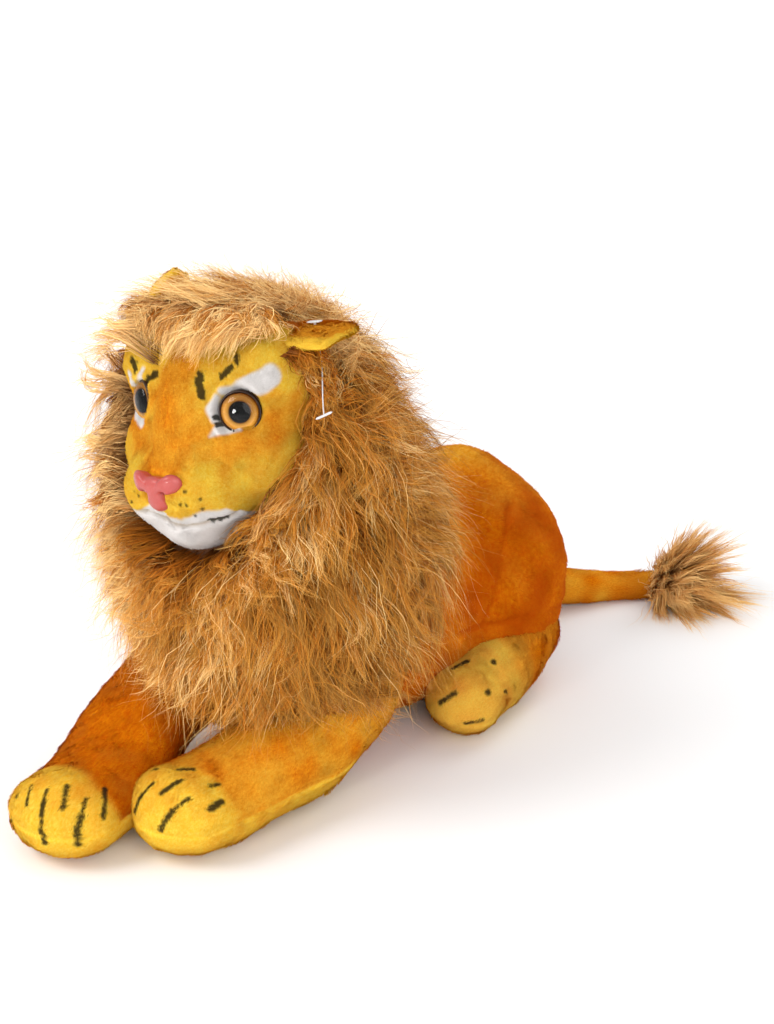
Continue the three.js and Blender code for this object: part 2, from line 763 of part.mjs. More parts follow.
const fastenerSeat = place(fastener.fromFold, 0, ear.thickness / 2 + gap + fastener.thread / 2);
const threadLean = new THREE.Matrix4().makeRotationFromEuler(
  new THREE.Euler(-fastener.forwardDegrees * degree, -fastener.outwardDegrees * degree, 0),
);

function fastenerFrame() {
  return earFrame('left', earRest.left).multiply(new THREE.Matrix4().setPosition(fastenerSeat));
}

function threadFrame() {
  return fastenerFrame().multiply(threadLean);
}

function bar(width, depth, frame, drop = 0) {
  const geometry = new THREE.BoxGeometry(width, depth, fastener.thread);
  geometry.translate(0, 0, -drop);
  geometry.applyMatrix4(frame);
  return solidOf(geometry);
}

function fastenerSolid() {
  const paddle = bar(fastener.paddleWidth, fastener.paddleWidth / 2, fastenerFrame());
  const thread = rod(fastener.thread / 2, -fastener.length, 0, threadFrame());
  const crossBar = bar(fastener.barLength, fastener.thread, threadFrame(), fastener.length);
  return paddle.add(thread).add(crossBar);
}

// The space that the thread and its cross bar need between the limits of the ear
function fastenerSweep() {
  const halfBar = fastener.barLength / 2;
  const hung = (x) => place(x, 0, -fastener.length).applyMatrix4(threadLean).add(fastenerSeat);
  const [near, far] = [hung(-halfBar), hung(halfBar)];
  const radiusOf = ({ x, z }) => Math.hypot(x, z);
  const angleOf = ({ x, z }) => Math.atan2(z, x);
  const swing = earSwing.left[1] * degree;
  const inner = radiusOf(fastenerSeat) - fastener.thread / 2 - earClearance;
  const outer = radiusOf(far) + fastener.thread / 2 + earClearance;
  const slack = Math.atan((fastener.thread / 2 + earClearance) / inner);
  const low = angleOf(near) - slack;
  const high = angleOf(far) + slack + swing;
  const [start, end] = [angleOf(fastenerSeat) - slack, angleOf(fastenerSeat) + slack + swing];
  const outline = new THREE.Shape();
  outline.moveTo(inner * Math.cos(start), inner * Math.sin(start));
  outline.lineTo(outer * Math.cos(low), outer * Math.sin(low));
  outline.absarc(0, 0, outer, low, high, false);
  outline.lineTo(inner * Math.cos(end), inner * Math.sin(end));
  outline.absarc(0, 0, inner, end, start, true);
  const front = Math.max(-near.y, -far.y) + fastener.thread + earClearance;
  const depth = front + fastener.thread + earClearance;
  const geometry = new THREE.ExtrudeGeometry(outline, { depth, curveSegments: 6, bevelEnabled: false });
  geometry.rotateX(Math.PI / 2);
  geometry.translate(0, depth - front, 0);
  geometry.applyMatrix4(earFrame('left', earRest.left));
  return solidOf(geometry);
}

function addEars() {
  const hole = rod(fastener.thread / 2 + gap, -ear.length, ear.length, threadFrame());
  for (const name of Object.keys(sides)) {
    const frame = earFrame(name, earRest[name]);
    const holes = name === 'left' ? [hole] : [];
    addPiece(`ear_${name}_back`, cutBy(earLeaf(frame, 1), holes), plush.rust);
    addPiece(`ear_${name}_lining`, cutBy(earLeaf(frame, -1), holes), plush.yellow);
  }
  addPiece('tag_fastener', fastenerSolid(), hard.nylon);
}

addEars();

// Mane: long pile cloth round the head, neck and chest, open at the face

const manePlaceShares = { forward: 0.3644, lift: 1.11 };
const maneAt = place(0, -manePlaceShares.forward * body.length, manePlaceShares.lift * body.height);
const maneShares = {
  crown: { at: [-0.04, 0.02, 0.21], size: [0.99, 0.86, 0.56] },
  collar: { at: [0, 0, -0.04], size: [1, 0.98, 0.84] },
  skirt: { at: [0, 0.24, -0.08], size: [0.94, 1.02, 0.62] },
  core: [0, 0.02, 0],
  blend: 0.12,
};

function inMane([x, y, z]) {
  return place(x * mane.width, y * mane.depth, z * mane.height);
}

// The cone in front of the face that stays free of pile, by the sizes of the head
const faceWindowShares = { ring: 0.47, flare: 1.6, squeeze: 0.9, back: 0.1, drop: 0.16 };
const faceWindowPitch = -14 * degree;

function faceWindow() {
  const { ring, flare, squeeze, back, drop } = faceWindowShares;
  const geometry = new THREE.CylinderGeometry(head.width * ring, head.width * flare, mane.depth, roundSides);
  geometry.scale(1, 1, head.height * squeeze / head.width);
  geometry.translate(0, -mane.depth / 2, 0);
  geometry.rotateX(faceWindowPitch);
  geometry.translate(0, -head.depth * back, -head.height * drop);
  geometry.applyMatrix4(headFrame);
  return solidOf(geometry);
}

const maneSeamShares = { back: [0, 0.2, 0], crown: [0, 0, 0.34], bib: [0, 0, -0.06] };

function addMane() {
  const lumps = [maneShares.crown, maneShares.collar, maneShares.skirt].map(({ at, size }) => (
    lump(inMane(at).add(maneAt), inMane(size))
  ));
  const form = makeForm(inMane(maneShares.core).add(maneAt), lumps, maneShares.blend * mane.height);
  const pile = cutBy(swell(form, 0, plain), [
    torsoCutter, headCutter, faceWindow(), legCutters.left, legCutters.right,
    earSweep('left'), earSweep('right'), fastenerSweep(),
  ]);
  const [backSeam, crownSeam, bibSeam] = ['back', 'crown', 'bib'].map((name) => (
    inMane(maneSeamShares[name]).add(maneAt)
  ));
  const [backPile, frontPile] = sewnPair(pile, backSeam, forward.clone().negate());
  const [crownPile, lowerPile] = sewnPair(frontPile, crownSeam, up);
  const [bibPile, collarPile] = sewnPair(lowerPile, bibSeam, up.clone().negate());
  const [leftPile, rightPile] = sewnPair(collarPile, place(0, 0, 0), place(1, 0, 0));
  addPiece('mane_crown', crownPile, plush.mane);
  addPiece('mane_left', leftPile, plush.mane);
  addPiece('mane_right', rightPile, plush.mane);
  addPiece('mane_bib', bibPile, plush.mane);
  addPiece('mane_back', backPile, plush.mane);
}

addMane();

export default lion;
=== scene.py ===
import math

import bmesh
import bpy
import numpy as np
from mathutils import Matrix, Vector


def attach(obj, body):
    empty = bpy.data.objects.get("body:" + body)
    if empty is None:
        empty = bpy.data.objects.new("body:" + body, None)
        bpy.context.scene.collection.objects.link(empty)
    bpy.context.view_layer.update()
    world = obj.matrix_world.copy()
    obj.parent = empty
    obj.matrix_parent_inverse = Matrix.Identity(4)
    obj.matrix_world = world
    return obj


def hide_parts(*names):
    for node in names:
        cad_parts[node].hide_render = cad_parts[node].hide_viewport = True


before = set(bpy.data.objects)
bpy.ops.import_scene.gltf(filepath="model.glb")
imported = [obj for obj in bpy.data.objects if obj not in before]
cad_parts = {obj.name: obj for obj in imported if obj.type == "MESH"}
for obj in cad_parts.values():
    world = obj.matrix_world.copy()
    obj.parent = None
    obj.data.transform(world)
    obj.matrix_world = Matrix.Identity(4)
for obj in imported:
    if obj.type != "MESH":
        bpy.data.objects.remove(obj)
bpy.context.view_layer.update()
mm = 0.001
print("frame loaded:", len(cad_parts), "nodes")

# shader wires


class Wire:
    # a socket with its tree, so that shader maths reads as plain sums

    def __init__(self, tree, socket=None):
        self.tree, self.socket = tree, socket

    def node(self, kind, settings=None, inputs=None, out=0):
        made = self.tree.nodes.new(kind)
        for key, value in (settings or {}).items():
            if key == "stops":
                ramp = made.color_ramp
                while len(ramp.elements) < len(value):
                    ramp.elements.new(0.5)
                for element, (at, colour) in zip(ramp.elements, value):
                    element.position = at
                    element.color = (*colour, 1)
            else:
                setattr(made, key, value)
        for key, value in (inputs or {}).items():
            if isinstance(value, Wire):
                self.tree.links.new(value.socket, made.inputs[key])
            else:
                made.inputs[key].default_value = value
        return Wire(self.tree, made.outputs[out] if len(made.outputs) else None)

    def part(self, out):
        # another output of the same node
        return Wire(self.tree, self.socket.node.outputs[out])

    def maths(self, operation, first, second=0.0, clamp=False):
        return self.node("ShaderNodeMath", {"operation": operation, "use_clamp": clamp}, {0: first, 1: second})

    def __add__(self, other):
        return self.maths("ADD", self, other)

    def __sub__(self, other):
        return self.maths("SUBTRACT", self, other)

    def __rsub__(self, other):
        return self.maths("SUBTRACT", other, self)

    def __mul__(self, other):
        return self.maths("MULTIPLY", self, other)

    __radd__ = __add__
    __rmul__ = __mul__

    def steep(self, low, high):
        # 0 below low, 1 above high
        return self.maths("MULTIPLY", self - low, 1 / (high - low), True)

    def mix(self, under, over):
        # this wire is how much of the second colour shows
        under = (*under, 1) if isinstance(under, tuple) else under
        over = (*over, 1) if isinstance(over, tuple) else over
        return self.node("ShaderNodeMix", {"data_type": "RGBA"}, {0: self, 6: under, 7: over}, 2)


def newMaterial(name):
    material = bpy.data.materials.new(name)
    material.use_nodes = True
    material.node_tree.nodes.clear()
    return material, Wire(material.node_tree)


def finishMaterial(start, colour, roughness, bump=None, **constants):
    # one surface: what varies is wired in, and the rest is set on its sockets
    inputs = {"Base Color": colour, "Roughness": roughness, **constants}
    if bump is not None:
        inputs["Normal"] = bump
    shader = start.node("ShaderNodeBsdfPrincipled", None, inputs)
    start.node("ShaderNodeOutputMaterial", None, {"Surface": shader})


def noise(start, scale, detail=3.0, rough=0.5):
    return start.node("ShaderNodeTexNoise", None, {"Scale": scale, "Detail": detail, "Roughness": rough})


def bumpOf(start, height, distance):
    return start.node("ShaderNodeBump", None, {"Height": height, "Distance": distance, "Strength": 1.0})


# forms in numbers

def unit(vectors):
    return vectors / np.maximum(np.linalg.norm(vectors, axis=-1, keepdims=True), 1e-9)


def wobble(points, size, seed, waves=7):
    # a smooth random field of about -1 to 1, with bumps of about that size
    random = np.random.default_rng(seed)
    total = np.zeros(points.shape[:-1])
    for _ in range(waves):
        direction = unit(random.normal(size=3)) * math.tau / size * random.uniform(0.5, 1.5)
        total += np.sin(points @ direction + random.uniform(0, math.tau))
    return total / math.sqrt(waves)


def wobbles(points, size, seed):
    # the same in three directions
    return np.stack([wobble(points, size, seed + k) for k in range(3)], 1)


def smoothStep(value, low, high):
    share = np.clip((value - low) / (high - low), 0, 1)
    return share * share * (3 - 2 * share)


def bell(value, width, power=2):
    # 1 at no value, and little beyond the width
    return np.exp(-(value / width) ** power)


def zone(points, **limits):
    # how far inside a zone, 0 to 1: for each direction where it begins and where it is full; side is left and right
    x, y, z = np.moveaxis(points, -1, 0)
    places = {"x": x, "y": y, "z": z, "side": np.abs(x)}
    return math.prod(smoothStep(places[key], *limit) for key, limit in limits.items())


def above(points, height):
    # keeps points over the floor
    points[..., 2] = np.maximum(points[..., 2], height)


def swell(level, here, blend):
    # joins two distances so that one form runs into the other
    if level is None:
        return here
    overlap = np.maximum(1 - np.abs(level - here) / blend, 0)
    return np.minimum(level, here) - overlap ** 2 * blend / 4


def formLevel(form, points):
    # about the distance to the skin of lumps that swell into one another
    level = None
    for at, size in form["lumps"]:
        radii = np.array(size) / 2
        local = (points - np.array(at)) / radii
        near = np.linalg.norm(local, axis=-1)
        slope = np.maximum(np.linalg.norm(local / radii, axis=-1), 1e-6)
        level = swell(level, near * (near - 1) / slope, form["blend"])
    return level


stride = 0.8  # share of the way to the skin that each step goes


def reachFrom(form, start, directions, level=0.0, far=220.0, steps=34):
    # distance along each ray to the outermost skin, found from outside
    reach = np.full(directions.shape[:-1], far)
    for _ in range(steps):
        reach = reach - stride * (formLevel(form, start + directions * reach[..., None]) - level)
    return np.maximum(reach, 0)


def skinPoint(form, start, direction, level=0.0):
    start, direction = np.array(start, float), unit(np.array(direction, float))
    return start + direction * reachFrom(form, start, direction[None], level, steps=60)[0]


def slopeOf(form, points, step=0.5):
    grad = np.stack([
        formLevel(form, points + np.eye(3)[k] * step) - formLevel(form, points - np.eye(3)[k] * step)
        for k in range(3)], axis=-1)
    return unit(grad)


def toLevel(form, points, level, turns=3):
    for _ in range(turns):
        points = points - slopeOf(form, points) * (formLevel(form, points) - level)[..., None]
    return points


def settle(form):
    # sinks or lifts a form so that it presses 0.5 mm into the floor
    low = skinPoint(form, form["core"], (0, 0, -1))[2]
    rise = np.array([0, 0, -0.5 - low])
    form["core"] = np.array(form["core"]) + rise
    form["lumps"] = [(np.array(at) + rise, size) for at, size in form["lumps"]]
    return form


def catmull(points, count):
    # the same centripetal curve that the limbs of the frame follow
    points = np.array(points, float)
    ends = np.vstack([2 * points[0] - points[1], points, 2 * points[-1] - points[-2]])
    out = []
    for t in np.linspace(0, 1, count):
        place = t * (len(points) - 1)
        k = min(int(place), len(points) - 2)
        w = place - k
        p0, p1, p2, p3 = ends[k:k + 4]
        d0, d1, d2 = (max(np.linalg.norm(b - a) ** 0.5, 1e-4) for a, b in ((p0, p1), (p1, p2), (p2, p3)))
        t1 = ((p1 - p0) / d0 - (p2 - p0) / (d0 + d1) + (p2 - p1) / d1) * d1
        t2 = ((p2 - p1) / d1 - (p3 - p1) / (d1 + d2) + (p3 - p2) / d2) * d1
        out.append(p1 + t1 * w + (-3 * p1 + 3 * p2 - 2 * t1 - t2) * w ** 2 + (2 * p1 - 2 * p2 + t1 + t2) * w ** 3)
    return np.array(out)


def awayFrom(points, line):
    return lineDistance(points, line)[0]


def lineDistance(points, line):
    # distance to a chain of points, and how far along it the nearest place is (0 to 1)
    line = np.array(line, float)
    best = np.full(len(points), 1e9)
    along = np.zeros(len(points))
    for k in range(len(line) - 1):
        span = line[k + 1] - line[k]
        share = np.clip((points - line[k]) @ span / max(span @ span, 1e-9), 0, 1)
        away = np.linalg.norm(points - line[k] - share[:, None] * span, axis=1)
        closer = away < best
        best[closer] = away[closer]
        along[closer] = (k + share[closer]) / (len(line) - 1)
    return best, along


# meshes

def addObject(name, data):
    made = bpy.data.objects.new(name, data)
    bpy.context.scene.collection.objects.link(made)
    return made


def makeMesh(name, points, faces, material, attributes=None, uv=None, normals=None):
    mesh = bpy.data.meshes.new(name)
    points = np.asarray(points, np.float32) * mm
    mesh.vertices.add(len(points))
    mesh.vertices.foreach_set("co", points.ravel())
    corners = faces.shape[1]
    mesh.loops.add(faces.size)
    mesh.loops.foreach_set("vertex_index", faces.ravel().astype(np.int32))
    mesh.polygons.add(len(faces))
    mesh.polygons.foreach_set("loop_start", np.arange(0, faces.size, corners, dtype=np.int32))
    mesh.polygons.foreach_set("use_smooth", np.ones(len(faces), bool))
    mesh.update(calc_edges=True)
    for key, values in (attributes or {}).items():
        layer = mesh.attributes.new(key, "FLOAT_COLOR", "POINT")
        layer.data.foreach_set("color", np.asarray(values, np.float32).ravel())
    if uv is not None:
        layer = mesh.uv_layers.new(name="OFBake")
        layer.data.foreach_set("uv", np.asarray(uv, np.float32)[faces.ravel()].ravel())
    if normals is not None:
        mesh.normals_split_custom_set_from_vertices(np.asarray(normals, np.float32))
    mesh.materials.append(material)
    return addObject(name, mesh)


def belongs(piece, body, slot, *nodes):
    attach(piece, body)
    if nodes:
        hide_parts(*nodes)


def ballMesh(detail):
    shape = bmesh.new()
    bmesh.ops.create_icosphere(shape, subdivisions=detail, radius=1)
    points = np.array([v.co for v in shape.verts])
    faces = np.array([[v.index for v in f.verts] for f in shape.faces])
    shape.free()
    return points, faces


def tubeFaces(rows, count, turned=False):
    # four sided faces between rings of points
    grid = np.arange(rows * count).reshape(rows, count)
    after = np.roll(grid, -1, axis=1)
    faces = np.stack([grid[:-1], after[:-1], after[1:], grid[1:]], -1).reshape(-1, 4)
    return faces[:, [0, 3, 2, 1]] if turned else faces


def pointNormals(points, faces):
    normals = np.zeros_like(points)
    a, b, c = points[faces[:, 0]], points[faces[:, 1]], points[faces[:, -1]]
    flat = np.cross(b - a, c - a)
    for k in range(faces.shape[1]):
        np.add.at(normals, faces[:, k], flat)
    return unit(normals)


def mapPlace(share):
    # a share from 0 to 1 as a place on the map, just inside its edge
    return 0.01 + 0.98 * share


def ballUv(directions):
    # a round form's own map: round the upright axis, then from top to bottom
    u = np.arctan2(directions[:, 0], -directions[:, 1]) / math.tau + 0.5
    v = np.arccos(np.clip(directions[:, 2], -1, 1)) / math.pi
    return np.stack([mapPlace(u), mapPlace(v)], 1)


def starSkin(form, detail, level=0.0, stretch=(1, 1, 1)):
    directions, faces = ballMesh(detail)
    directions = unit(directions * np.array(stretch))
    core = np.array(form["core"])
    points = core + directions * reachFrom(form, core, directions, level)[:, None]
    return {"points": points, "faces": faces, "normals": pointNormals(points, faces), "uv": ballUv(directions)}


def limbSkin(spine, widths, heights, rings, sides, caps=16, level=0.0):
    # a stuffed sleeve along a curve, with rounded ends
    line = catmull(spine, rings)
    fine = np.linspace(0, 1, rings)

    def sizeAt(sizes):
        place = fine * (len(sizes) - 1)
        slot = np.minimum(place.astype(int), len(sizes) - 2)
        w = place - slot
        w = w * w * (3 - 2 * w)
        sizes = np.array(sizes, float)
        return (sizes[slot] + (sizes[slot + 1] - sizes[slot]) * w) / 2 + level

    wide, high = sizeAt(widths), sizeAt(heights)
    along = unit(np.gradient(line, axis=0))
    side = unit(np.cross([0, 0, 1.0], along))
    rise = np.cross(along, side)
    angle = math.tau * np.arange(sides) / sides - math.pi / 2
    rows, tip = [], 0.004

    def addRow(k, shift, share):
        centre = line[k] + along[k] * shift
        rows.append(centre + share * (np.cos(angle)[:, None] * side[k] * wide[k]
                                      + np.sin(angle)[:, None] * rise[k] * high[k]))

    startDepth, endDepth = (wide[0] + high[0]) / 2, (wide[-1] + high[-1]) / 2
    for i in range(caps):
        turn = i * math.pi / 2 / caps
        addRow(0, -startDepth * math.cos(turn), max(math.sin(turn), tip))
    for k in range(rings):
        addRow(k, 0, 1)
    for i in range(caps - 1, -1, -1):
        turn = i * math.pi / 2 / caps
        addRow(rings - 1, endDepth * math.cos(turn), max(math.sin(turn), tip))
    count = len(rows)
    v = np.repeat(mapPlace(np.arange(count) / (count - 1)), sides)
    u = np.tile(mapPlace(np.arange(sides) / sides), count)
    points, faces = np.array(rows).reshape(-1, 3), tubeFaces(count, sides)
    return {"points": points, "faces": faces, "normals": pointNormals(points, faces),
            "uv": np.stack([u, v], 1), "line": line}


def paintOf(count, yellow=0.0, white=0.0, ink=0.0, deep=0.0):
    # how much of each colour: yellow, white, black ink, and deep brown or rust; ink and deep also carry painted
    # shade, and white some painted light
    paint = np.zeros((count, 4))
    for k, value in enumerate((yellow, white, ink, deep)):
        paint[:, k] = np.clip(value, 0, 1)
    return paint


# what every hair of short pile has in common
pileForm = {
    "lengths": (0.65, 1.15), "widths": (0.7, 1.2),  # shares of what the look says
    "patch": 9, "patchy": 0.18,  # size of the patches and how much longer the pile is there
    "seamCut": 0.6,  # share of the pile that is caught in a seam
    "sunk": 0.15, "leastOut": 0.1, "bow": 0.18, "middleAt": 0.55, "twist": 0.12, "light": 0.06,
    "mapRoom": 0.0015,  # room of one hair on the map
}


def pileOn(name, skin, paint, look, nap, body, slot, keep=None, repaint=None):
    # short plush: one thin pointed hair for each place, in small leaning tufts
    form = pileForm
    random = np.random.default_rng(look["seed"])
    points, faces = skin["points"], skin["faces"]
    if faces.shape[1] == 4:
        faces = np.vstack([faces[:, [0, 1, 2]], faces[:, [0, 2, 3]]])
    a, b, c = (points[faces[:, k]] for k in range(3))
    area = np.linalg.norm(np.cross(b - a, c - a), axis=1) / 2
    if keep is not None:
        area = area * keep((a + b + c) / 3)
    count = int(min(area.sum() * look["perSquare"], look["most"]))
    pick = random.choice(len(faces), count, p=area / area.sum())
    r1, r2 = np.sqrt(random.random(count)), random.random(count)
    shares = np.stack([1 - r1, r1 * (1 - r2), r1 * r2], 1)

    def blend(values):
        return sum(values[faces[pick, k]] * shares[:, k:k + 1] for k in range(3))

    root, normal, colour = blend(points), unit(blend(skin["normals"])), blend(paint)
    uv = skin["uv"][faces[pick, 0]]
    lean = np.array(nap) + 0 * root
    lean = unit(lean - normal * np.sum(lean * normal, 1, keepdims=True))
    tuft = wobbles(root, look["tuft"], look["seed"])
    way = unit(normal * look["stand"] + lean * look["lean"] + tuft * look["ruffle"]
               + random.normal(size=(count, 3)) * look["loose"])
    out = np.sum(way * normal, 1, keepdims=True)
    way = unit(way + normal * np.maximum(form["leastOut"] - out, 0))
    patchy = 1 + form["patchy"] * wobble(root, form["patch"], look["seed"] + 5)
    length = look["length"] * random.uniform(*form["lengths"], count) * patchy
    if "short" in skin:
        length = length * (1 - form["seamCut"] * blend(skin["short"][:, None])[:, 0])
    side = unit(np.cross(way, normal) + random.normal(size=(count, 3)) * form["twist"])
    half = side * look["width"] / 2 * random.uniform(*form["widths"], count)[:, None]
    half = half * np.sign(np.sum(np.cross(half, way) * normal, 1, keepdims=True) + 1e-9)
    base = root - normal * form["sunk"]
    tip = root + way * length[:, None]
    middle = root + unit(way + normal * form["bow"]) * (length * form["middleAt"])[:, None]
    above(tip, 0.15)
    above(middle, 0.1)
    waist = half * 0.75
    verts = np.stack([base - half, base + half, middle + waist, middle - waist, tip], 1).reshape(-1, 3)
    start = np.arange(count)[:, None] * 5
    tris = np.vstack([start + [0, 1, 2], start + [0, 2, 3], start + [3, 2, 4]])
    colour = np.repeat(colour, 5, axis=0) if repaint is None else repaint(verts)
    corner = np.array([[0, 0], [1, 0], [1, 1], [0, 1], [0.5, 2]]) * form["mapRoom"]
    corner = np.clip(uv[:, None] + corner, 0.001, 0.999).reshape(-1, 2)
    # the pile takes the light much as the cloth under it does
    lit = unit(np.repeat(normal, 5, axis=0) + random.normal(size=(count * 5, 3)) * form["light"])
    belongs(makeMesh(name, verts, tris, pilePlush, {"paint": colour}, corner, lit), body, slot)


def skinPiece(name, skin, paint, body, slot, nodes):
    piece = makeMesh(name, skin["points"], skin["faces"], skinPlush, {"paint": paint})
    belongs(piece, body, slot, *nodes)


# camera and light

cameraLook = {
    "at": (0.596, -0.8355, 0.522), "aim": (0.011, 0.0, 0.110), "lens": 79.3, "sensor": 36, "clip": (0.05, 30),
}


def makeCamera():
    data = bpy.data.cameras.new("photoCamera")
    data.lens = cameraLook["lens"]
    data.sensor_width = cameraLook["sensor"]
    data.clip_start, data.clip_end = cameraLook["clip"]
    camera = addObject("photoCamera", data)
    camera.location = cameraLook["at"]
    look = Vector(cameraLook["aim"]) - Vector(cameraLook["at"])
    camera.rotation_euler = look.to_track_quat("-Z", "Y").to_euler()
    bpy.context.scene.camera = camera


studio = {
    "world": 0.78, "aim": (0, -0.05, 0.1),
    "key": {"at": (-0.85, -1.35, 1.6), "size": 1.2, "watts": 21},
    "fill": {"at": (1.5, -1.2, 0.8), "size": 1.6, "watts": 13},
    "rim": {"at": (0.2, 1.5, 1.4), "size": 1.2, "watts": 8},
    "glint": {"at": (0.093, -1.13, 0.22), "size": 0.18, "watts": 3.4},
    "floor": (0.93, 0.93, 0.93), "floorSize": 9,
    "lift": (0.45, 1.2, 0.5),  # from where, to where, and how much light
}


def makeStudio():
    for name in ("key", "fill", "rim", "glint"):
        lamp = studio[name]
        data = bpy.data.lights.new(name, "AREA")
        data.shape = "DISK"
        data.size = lamp["size"]
        data.energy = lamp["watts"]
        light = addObject(name, data)
        light.location = lamp["at"]
        light.visible_camera = False
        light.rotation_euler = (Vector(studio["aim"]) - light.location).to_track_quat("-Z", "Y").to_euler()
    world = bpy.data.worlds.new("studioWorld")
    bpy.context.scene.world = world
    world.use_nodes = True
    world.node_tree.nodes.clear()
    start = Wire(world.node_tree)
    straight = start.node("ShaderNodeLightPath", None, None, "Is Camera Ray")
    clear = start.node("ShaderNodeLightPath", None, None, "Is Transmission Ray")
    shown = start.maths("MAXIMUM", straight, clear)
    sky = start.node("ShaderNodeBackground", None, {
        "Color": (1, 1, 1, 1), "Strength": shown * (1 - studio["world"]) + studio["world"]})
    start.node("ShaderNodeOutputWorld", None, {"Surface": sky})
    shape = bmesh.new()
    bmesh.ops.create_grid(shape, x_segments=1, y_segments=1, size=studio["floorSize"])
    mesh = bpy.data.meshes.new("floor")
    shape.to_mesh(mesh)
    shape.free()
    floor = addObject("floor", mesh)
    # the far floor is lifted to white for the camera only, so that the shadow stays
    material, start = newMaterial("floorWhite")
    near, far, lift = studio["lift"]
    place = start.node("ShaderNodeNewGeometry", None, None, "Position")
    away = start.node("ShaderNodeVectorMath", {"operation": "LENGTH"}, {0: place}, "Value")
    straight = start.node("ShaderNodeLightPath", None, None, "Is Camera Ray")
    level = away.steep(near, far) * straight * lift
    glow = start.node("ShaderNodeCombineColor", None, {0: level, 1: level, 2: level})
    finishMaterial(start, (*studio["floor"], 1), 0.9, None, **{
        "Emission Color": glow, "Emission Strength": 1.0, "Specular IOR Level": 0.0})
    mesh.materials.append(material)
    bpy.context.scene.view_settings.view_transform = "Standard"


makeCamera()
makeStudio()
print("camera and light ready")

# plush and hair materials


def seen(red, green, blue):
    # a colour as the eye reads it, 0 to 255, turned into light
    return tuple(((c / 255 + 0.055) / 1.055) ** 2.4 if c > 10 else c / 255 / 12.92 for c in (red, green, blue))


plushColours = {
    "orange": seen(222, 97, 0),
    "lightOrange": seen(252, 160, 14),
    "yellow": seen(250, 189, 38),
    "paleYellow": seen(255, 218, 84),
    "white": seen(246, 240, 236),
    "ink": seen(36, 34, 24),
    "deep": seen(186, 72, 0),
}


def plushMaterial(name, dark=1.0):
    material, start = newMaterial(name)
    paint = start.node("ShaderNodeVertexColor", {"layer_name": "paint"})
    yellow = start.node("ShaderNodeSeparateColor", None, {0: paint})
    white, ink, deep = yellow.part(1), yellow.part(2), paint.part(1)
    mottle = noise(start, 70, 3, rough=0.65).steep(0.32, 0.68)
    specks = noise(start, 420, 2, rough=0.7).steep(0.3, 0.7)
    c = plushColours
    base = mottle.mix(c["orange"], c["lightOrange"])
    warm = mottle.mix(c["yellow"], c["paleYellow"])
    colour = yellow.mix(base, warm)
    colour = (deep * 0.9).mix(colour, c["deep"])
    colour = white.mix(colour, c["white"])
    colour = (ink * 0.94).mix(colour, c["ink"])
    shade = specks * 0.12 + 0.88
    # dark is painted shade: below 1 it darkens the whole surface, as for the backing under the pile
    grey = shade * dark
    grey = start.node("ShaderNodeCombineColor", None, {0: grey, 1: grey, 2: grey})
    colour = start.node("ShaderNodeMix", {"data_type": "RGBA", "blend_type": "MULTIPLY"},
                        {0: 1.0, 6: colour, 7: grey}, 2)
    bump = bumpOf(start, noise(start, 900, 3, rough=0.7), 0.0002)
    finishMaterial(start, colour, 0.95, bump, **{"Specular IOR Level": 0.04})
    return material


# the backing is painted a little darker, as painted shade under the pile
skinPlush = plushMaterial("shortPlushBacking", 0.94)
pilePlush = plushMaterial("shortPlushPile", 1.0)
print("plush materials ready")

# body

bodyShape = {
    "width": 108, "length": 236, "height": 118,
    "haunch": (64, 94, 104),
    "inset": 1.2, "seam": (1.9, 1.8), "floorRoom": 0.4,
    # the flank is narrower between these zones
    "waist": 0.3, "waistIn": {"y": (-78, -52)}, "waistOut": {"y": (14, -22), "z": (74, 34)},
    "flankSeam": [(41.1, 64.8, 101.4), (45.9, 51.1, 89.9), (49.7, 40.2, 75.4), (51.7, 32.9, 63.5),
                  (50.6, 24.8, 53.3)],
    "haunchSeam": [(50.1, 4.2, 52.4), (50.3, 23.6, 50.9), (58.8, 47.0, 48.7), (60.0, 70.0, 44.0), (56.0, 90.5, 39.2),
                   (40.0, 110.0, 34.0)],
    "ridge": [(0, -20, 118), (0, 40, 117), (0, 80, 112), (0, 105, 96), (0, 118, 70), (0, 121, 40)],
}


def bodyPlace(x, y, z):
    return np.array([x * bodyShape["width"], y * bodyShape["length"], z * bodyShape["height"]])


torsoForm = settle({
    "core": bodyPlace(0, 0, 0.55),
    "lumps": [
        (bodyPlace(0, -0.19, 0.62), bodyPlace(0.96, 0.46, 1.2)),
        (bodyPlace(0, 0, 0.5), bodyPlace(0.98, 0.7, 1)),
        (bodyPlace(0, 0.33, 0.5), bodyPlace(0.86, 0.38, 0.97)),
        (bodyPlace(0, -0.31, 1.06), bodyPlace(0.72, 0.32, 0.72)),
    ],
    "blend": 0.16 * bodyShape["height"],
})


def haunchForm(side):
    at = np.array([side * 0.29 * bodyShape["width"], 0.29 * bodyShape["length"], bodyShape["haunch"][2] / 2])
    return settle({"core": at, "lumps": [(at, bodyShape["haunch"])], "blend": 10})


bodyForm = {
    "core": torsoForm["core"],
    "lumps": torsoForm["lumps"] + haunchForm(1)["lumps"] + haunchForm(-1)["lumps"],
    "blend": 15,
}

bodyPile = {
    "seed": 11, "perSquare": 2.2, "most": 240000, "length": 2.4, "width": 0.55, "stand": 0.26, "lean": 1.0,
    "ruffle": 0.22, "loose": 0.12, "tuft": 12,
}


def mirrored(line):
    return [(-x, y, z) for x, y, z in line]


def sew(skin, lines, width, depth):
    # pulls a seam in along each line and notes where the pile is short
    short = skin.get("short", np.zeros(len(skin["points"])))
    for line in lines:
        away = awayFrom(skin["points"], line)
        dent, puff = bell(away, width), bell(away - 3.2 * width, 2.2 * width)
        skin["points"] = skin["points"] + skin["normals"] * (0.35 * depth * puff - depth * dent)[:, None]
        short = np.maximum(short, dent)
    skin["short"] = short


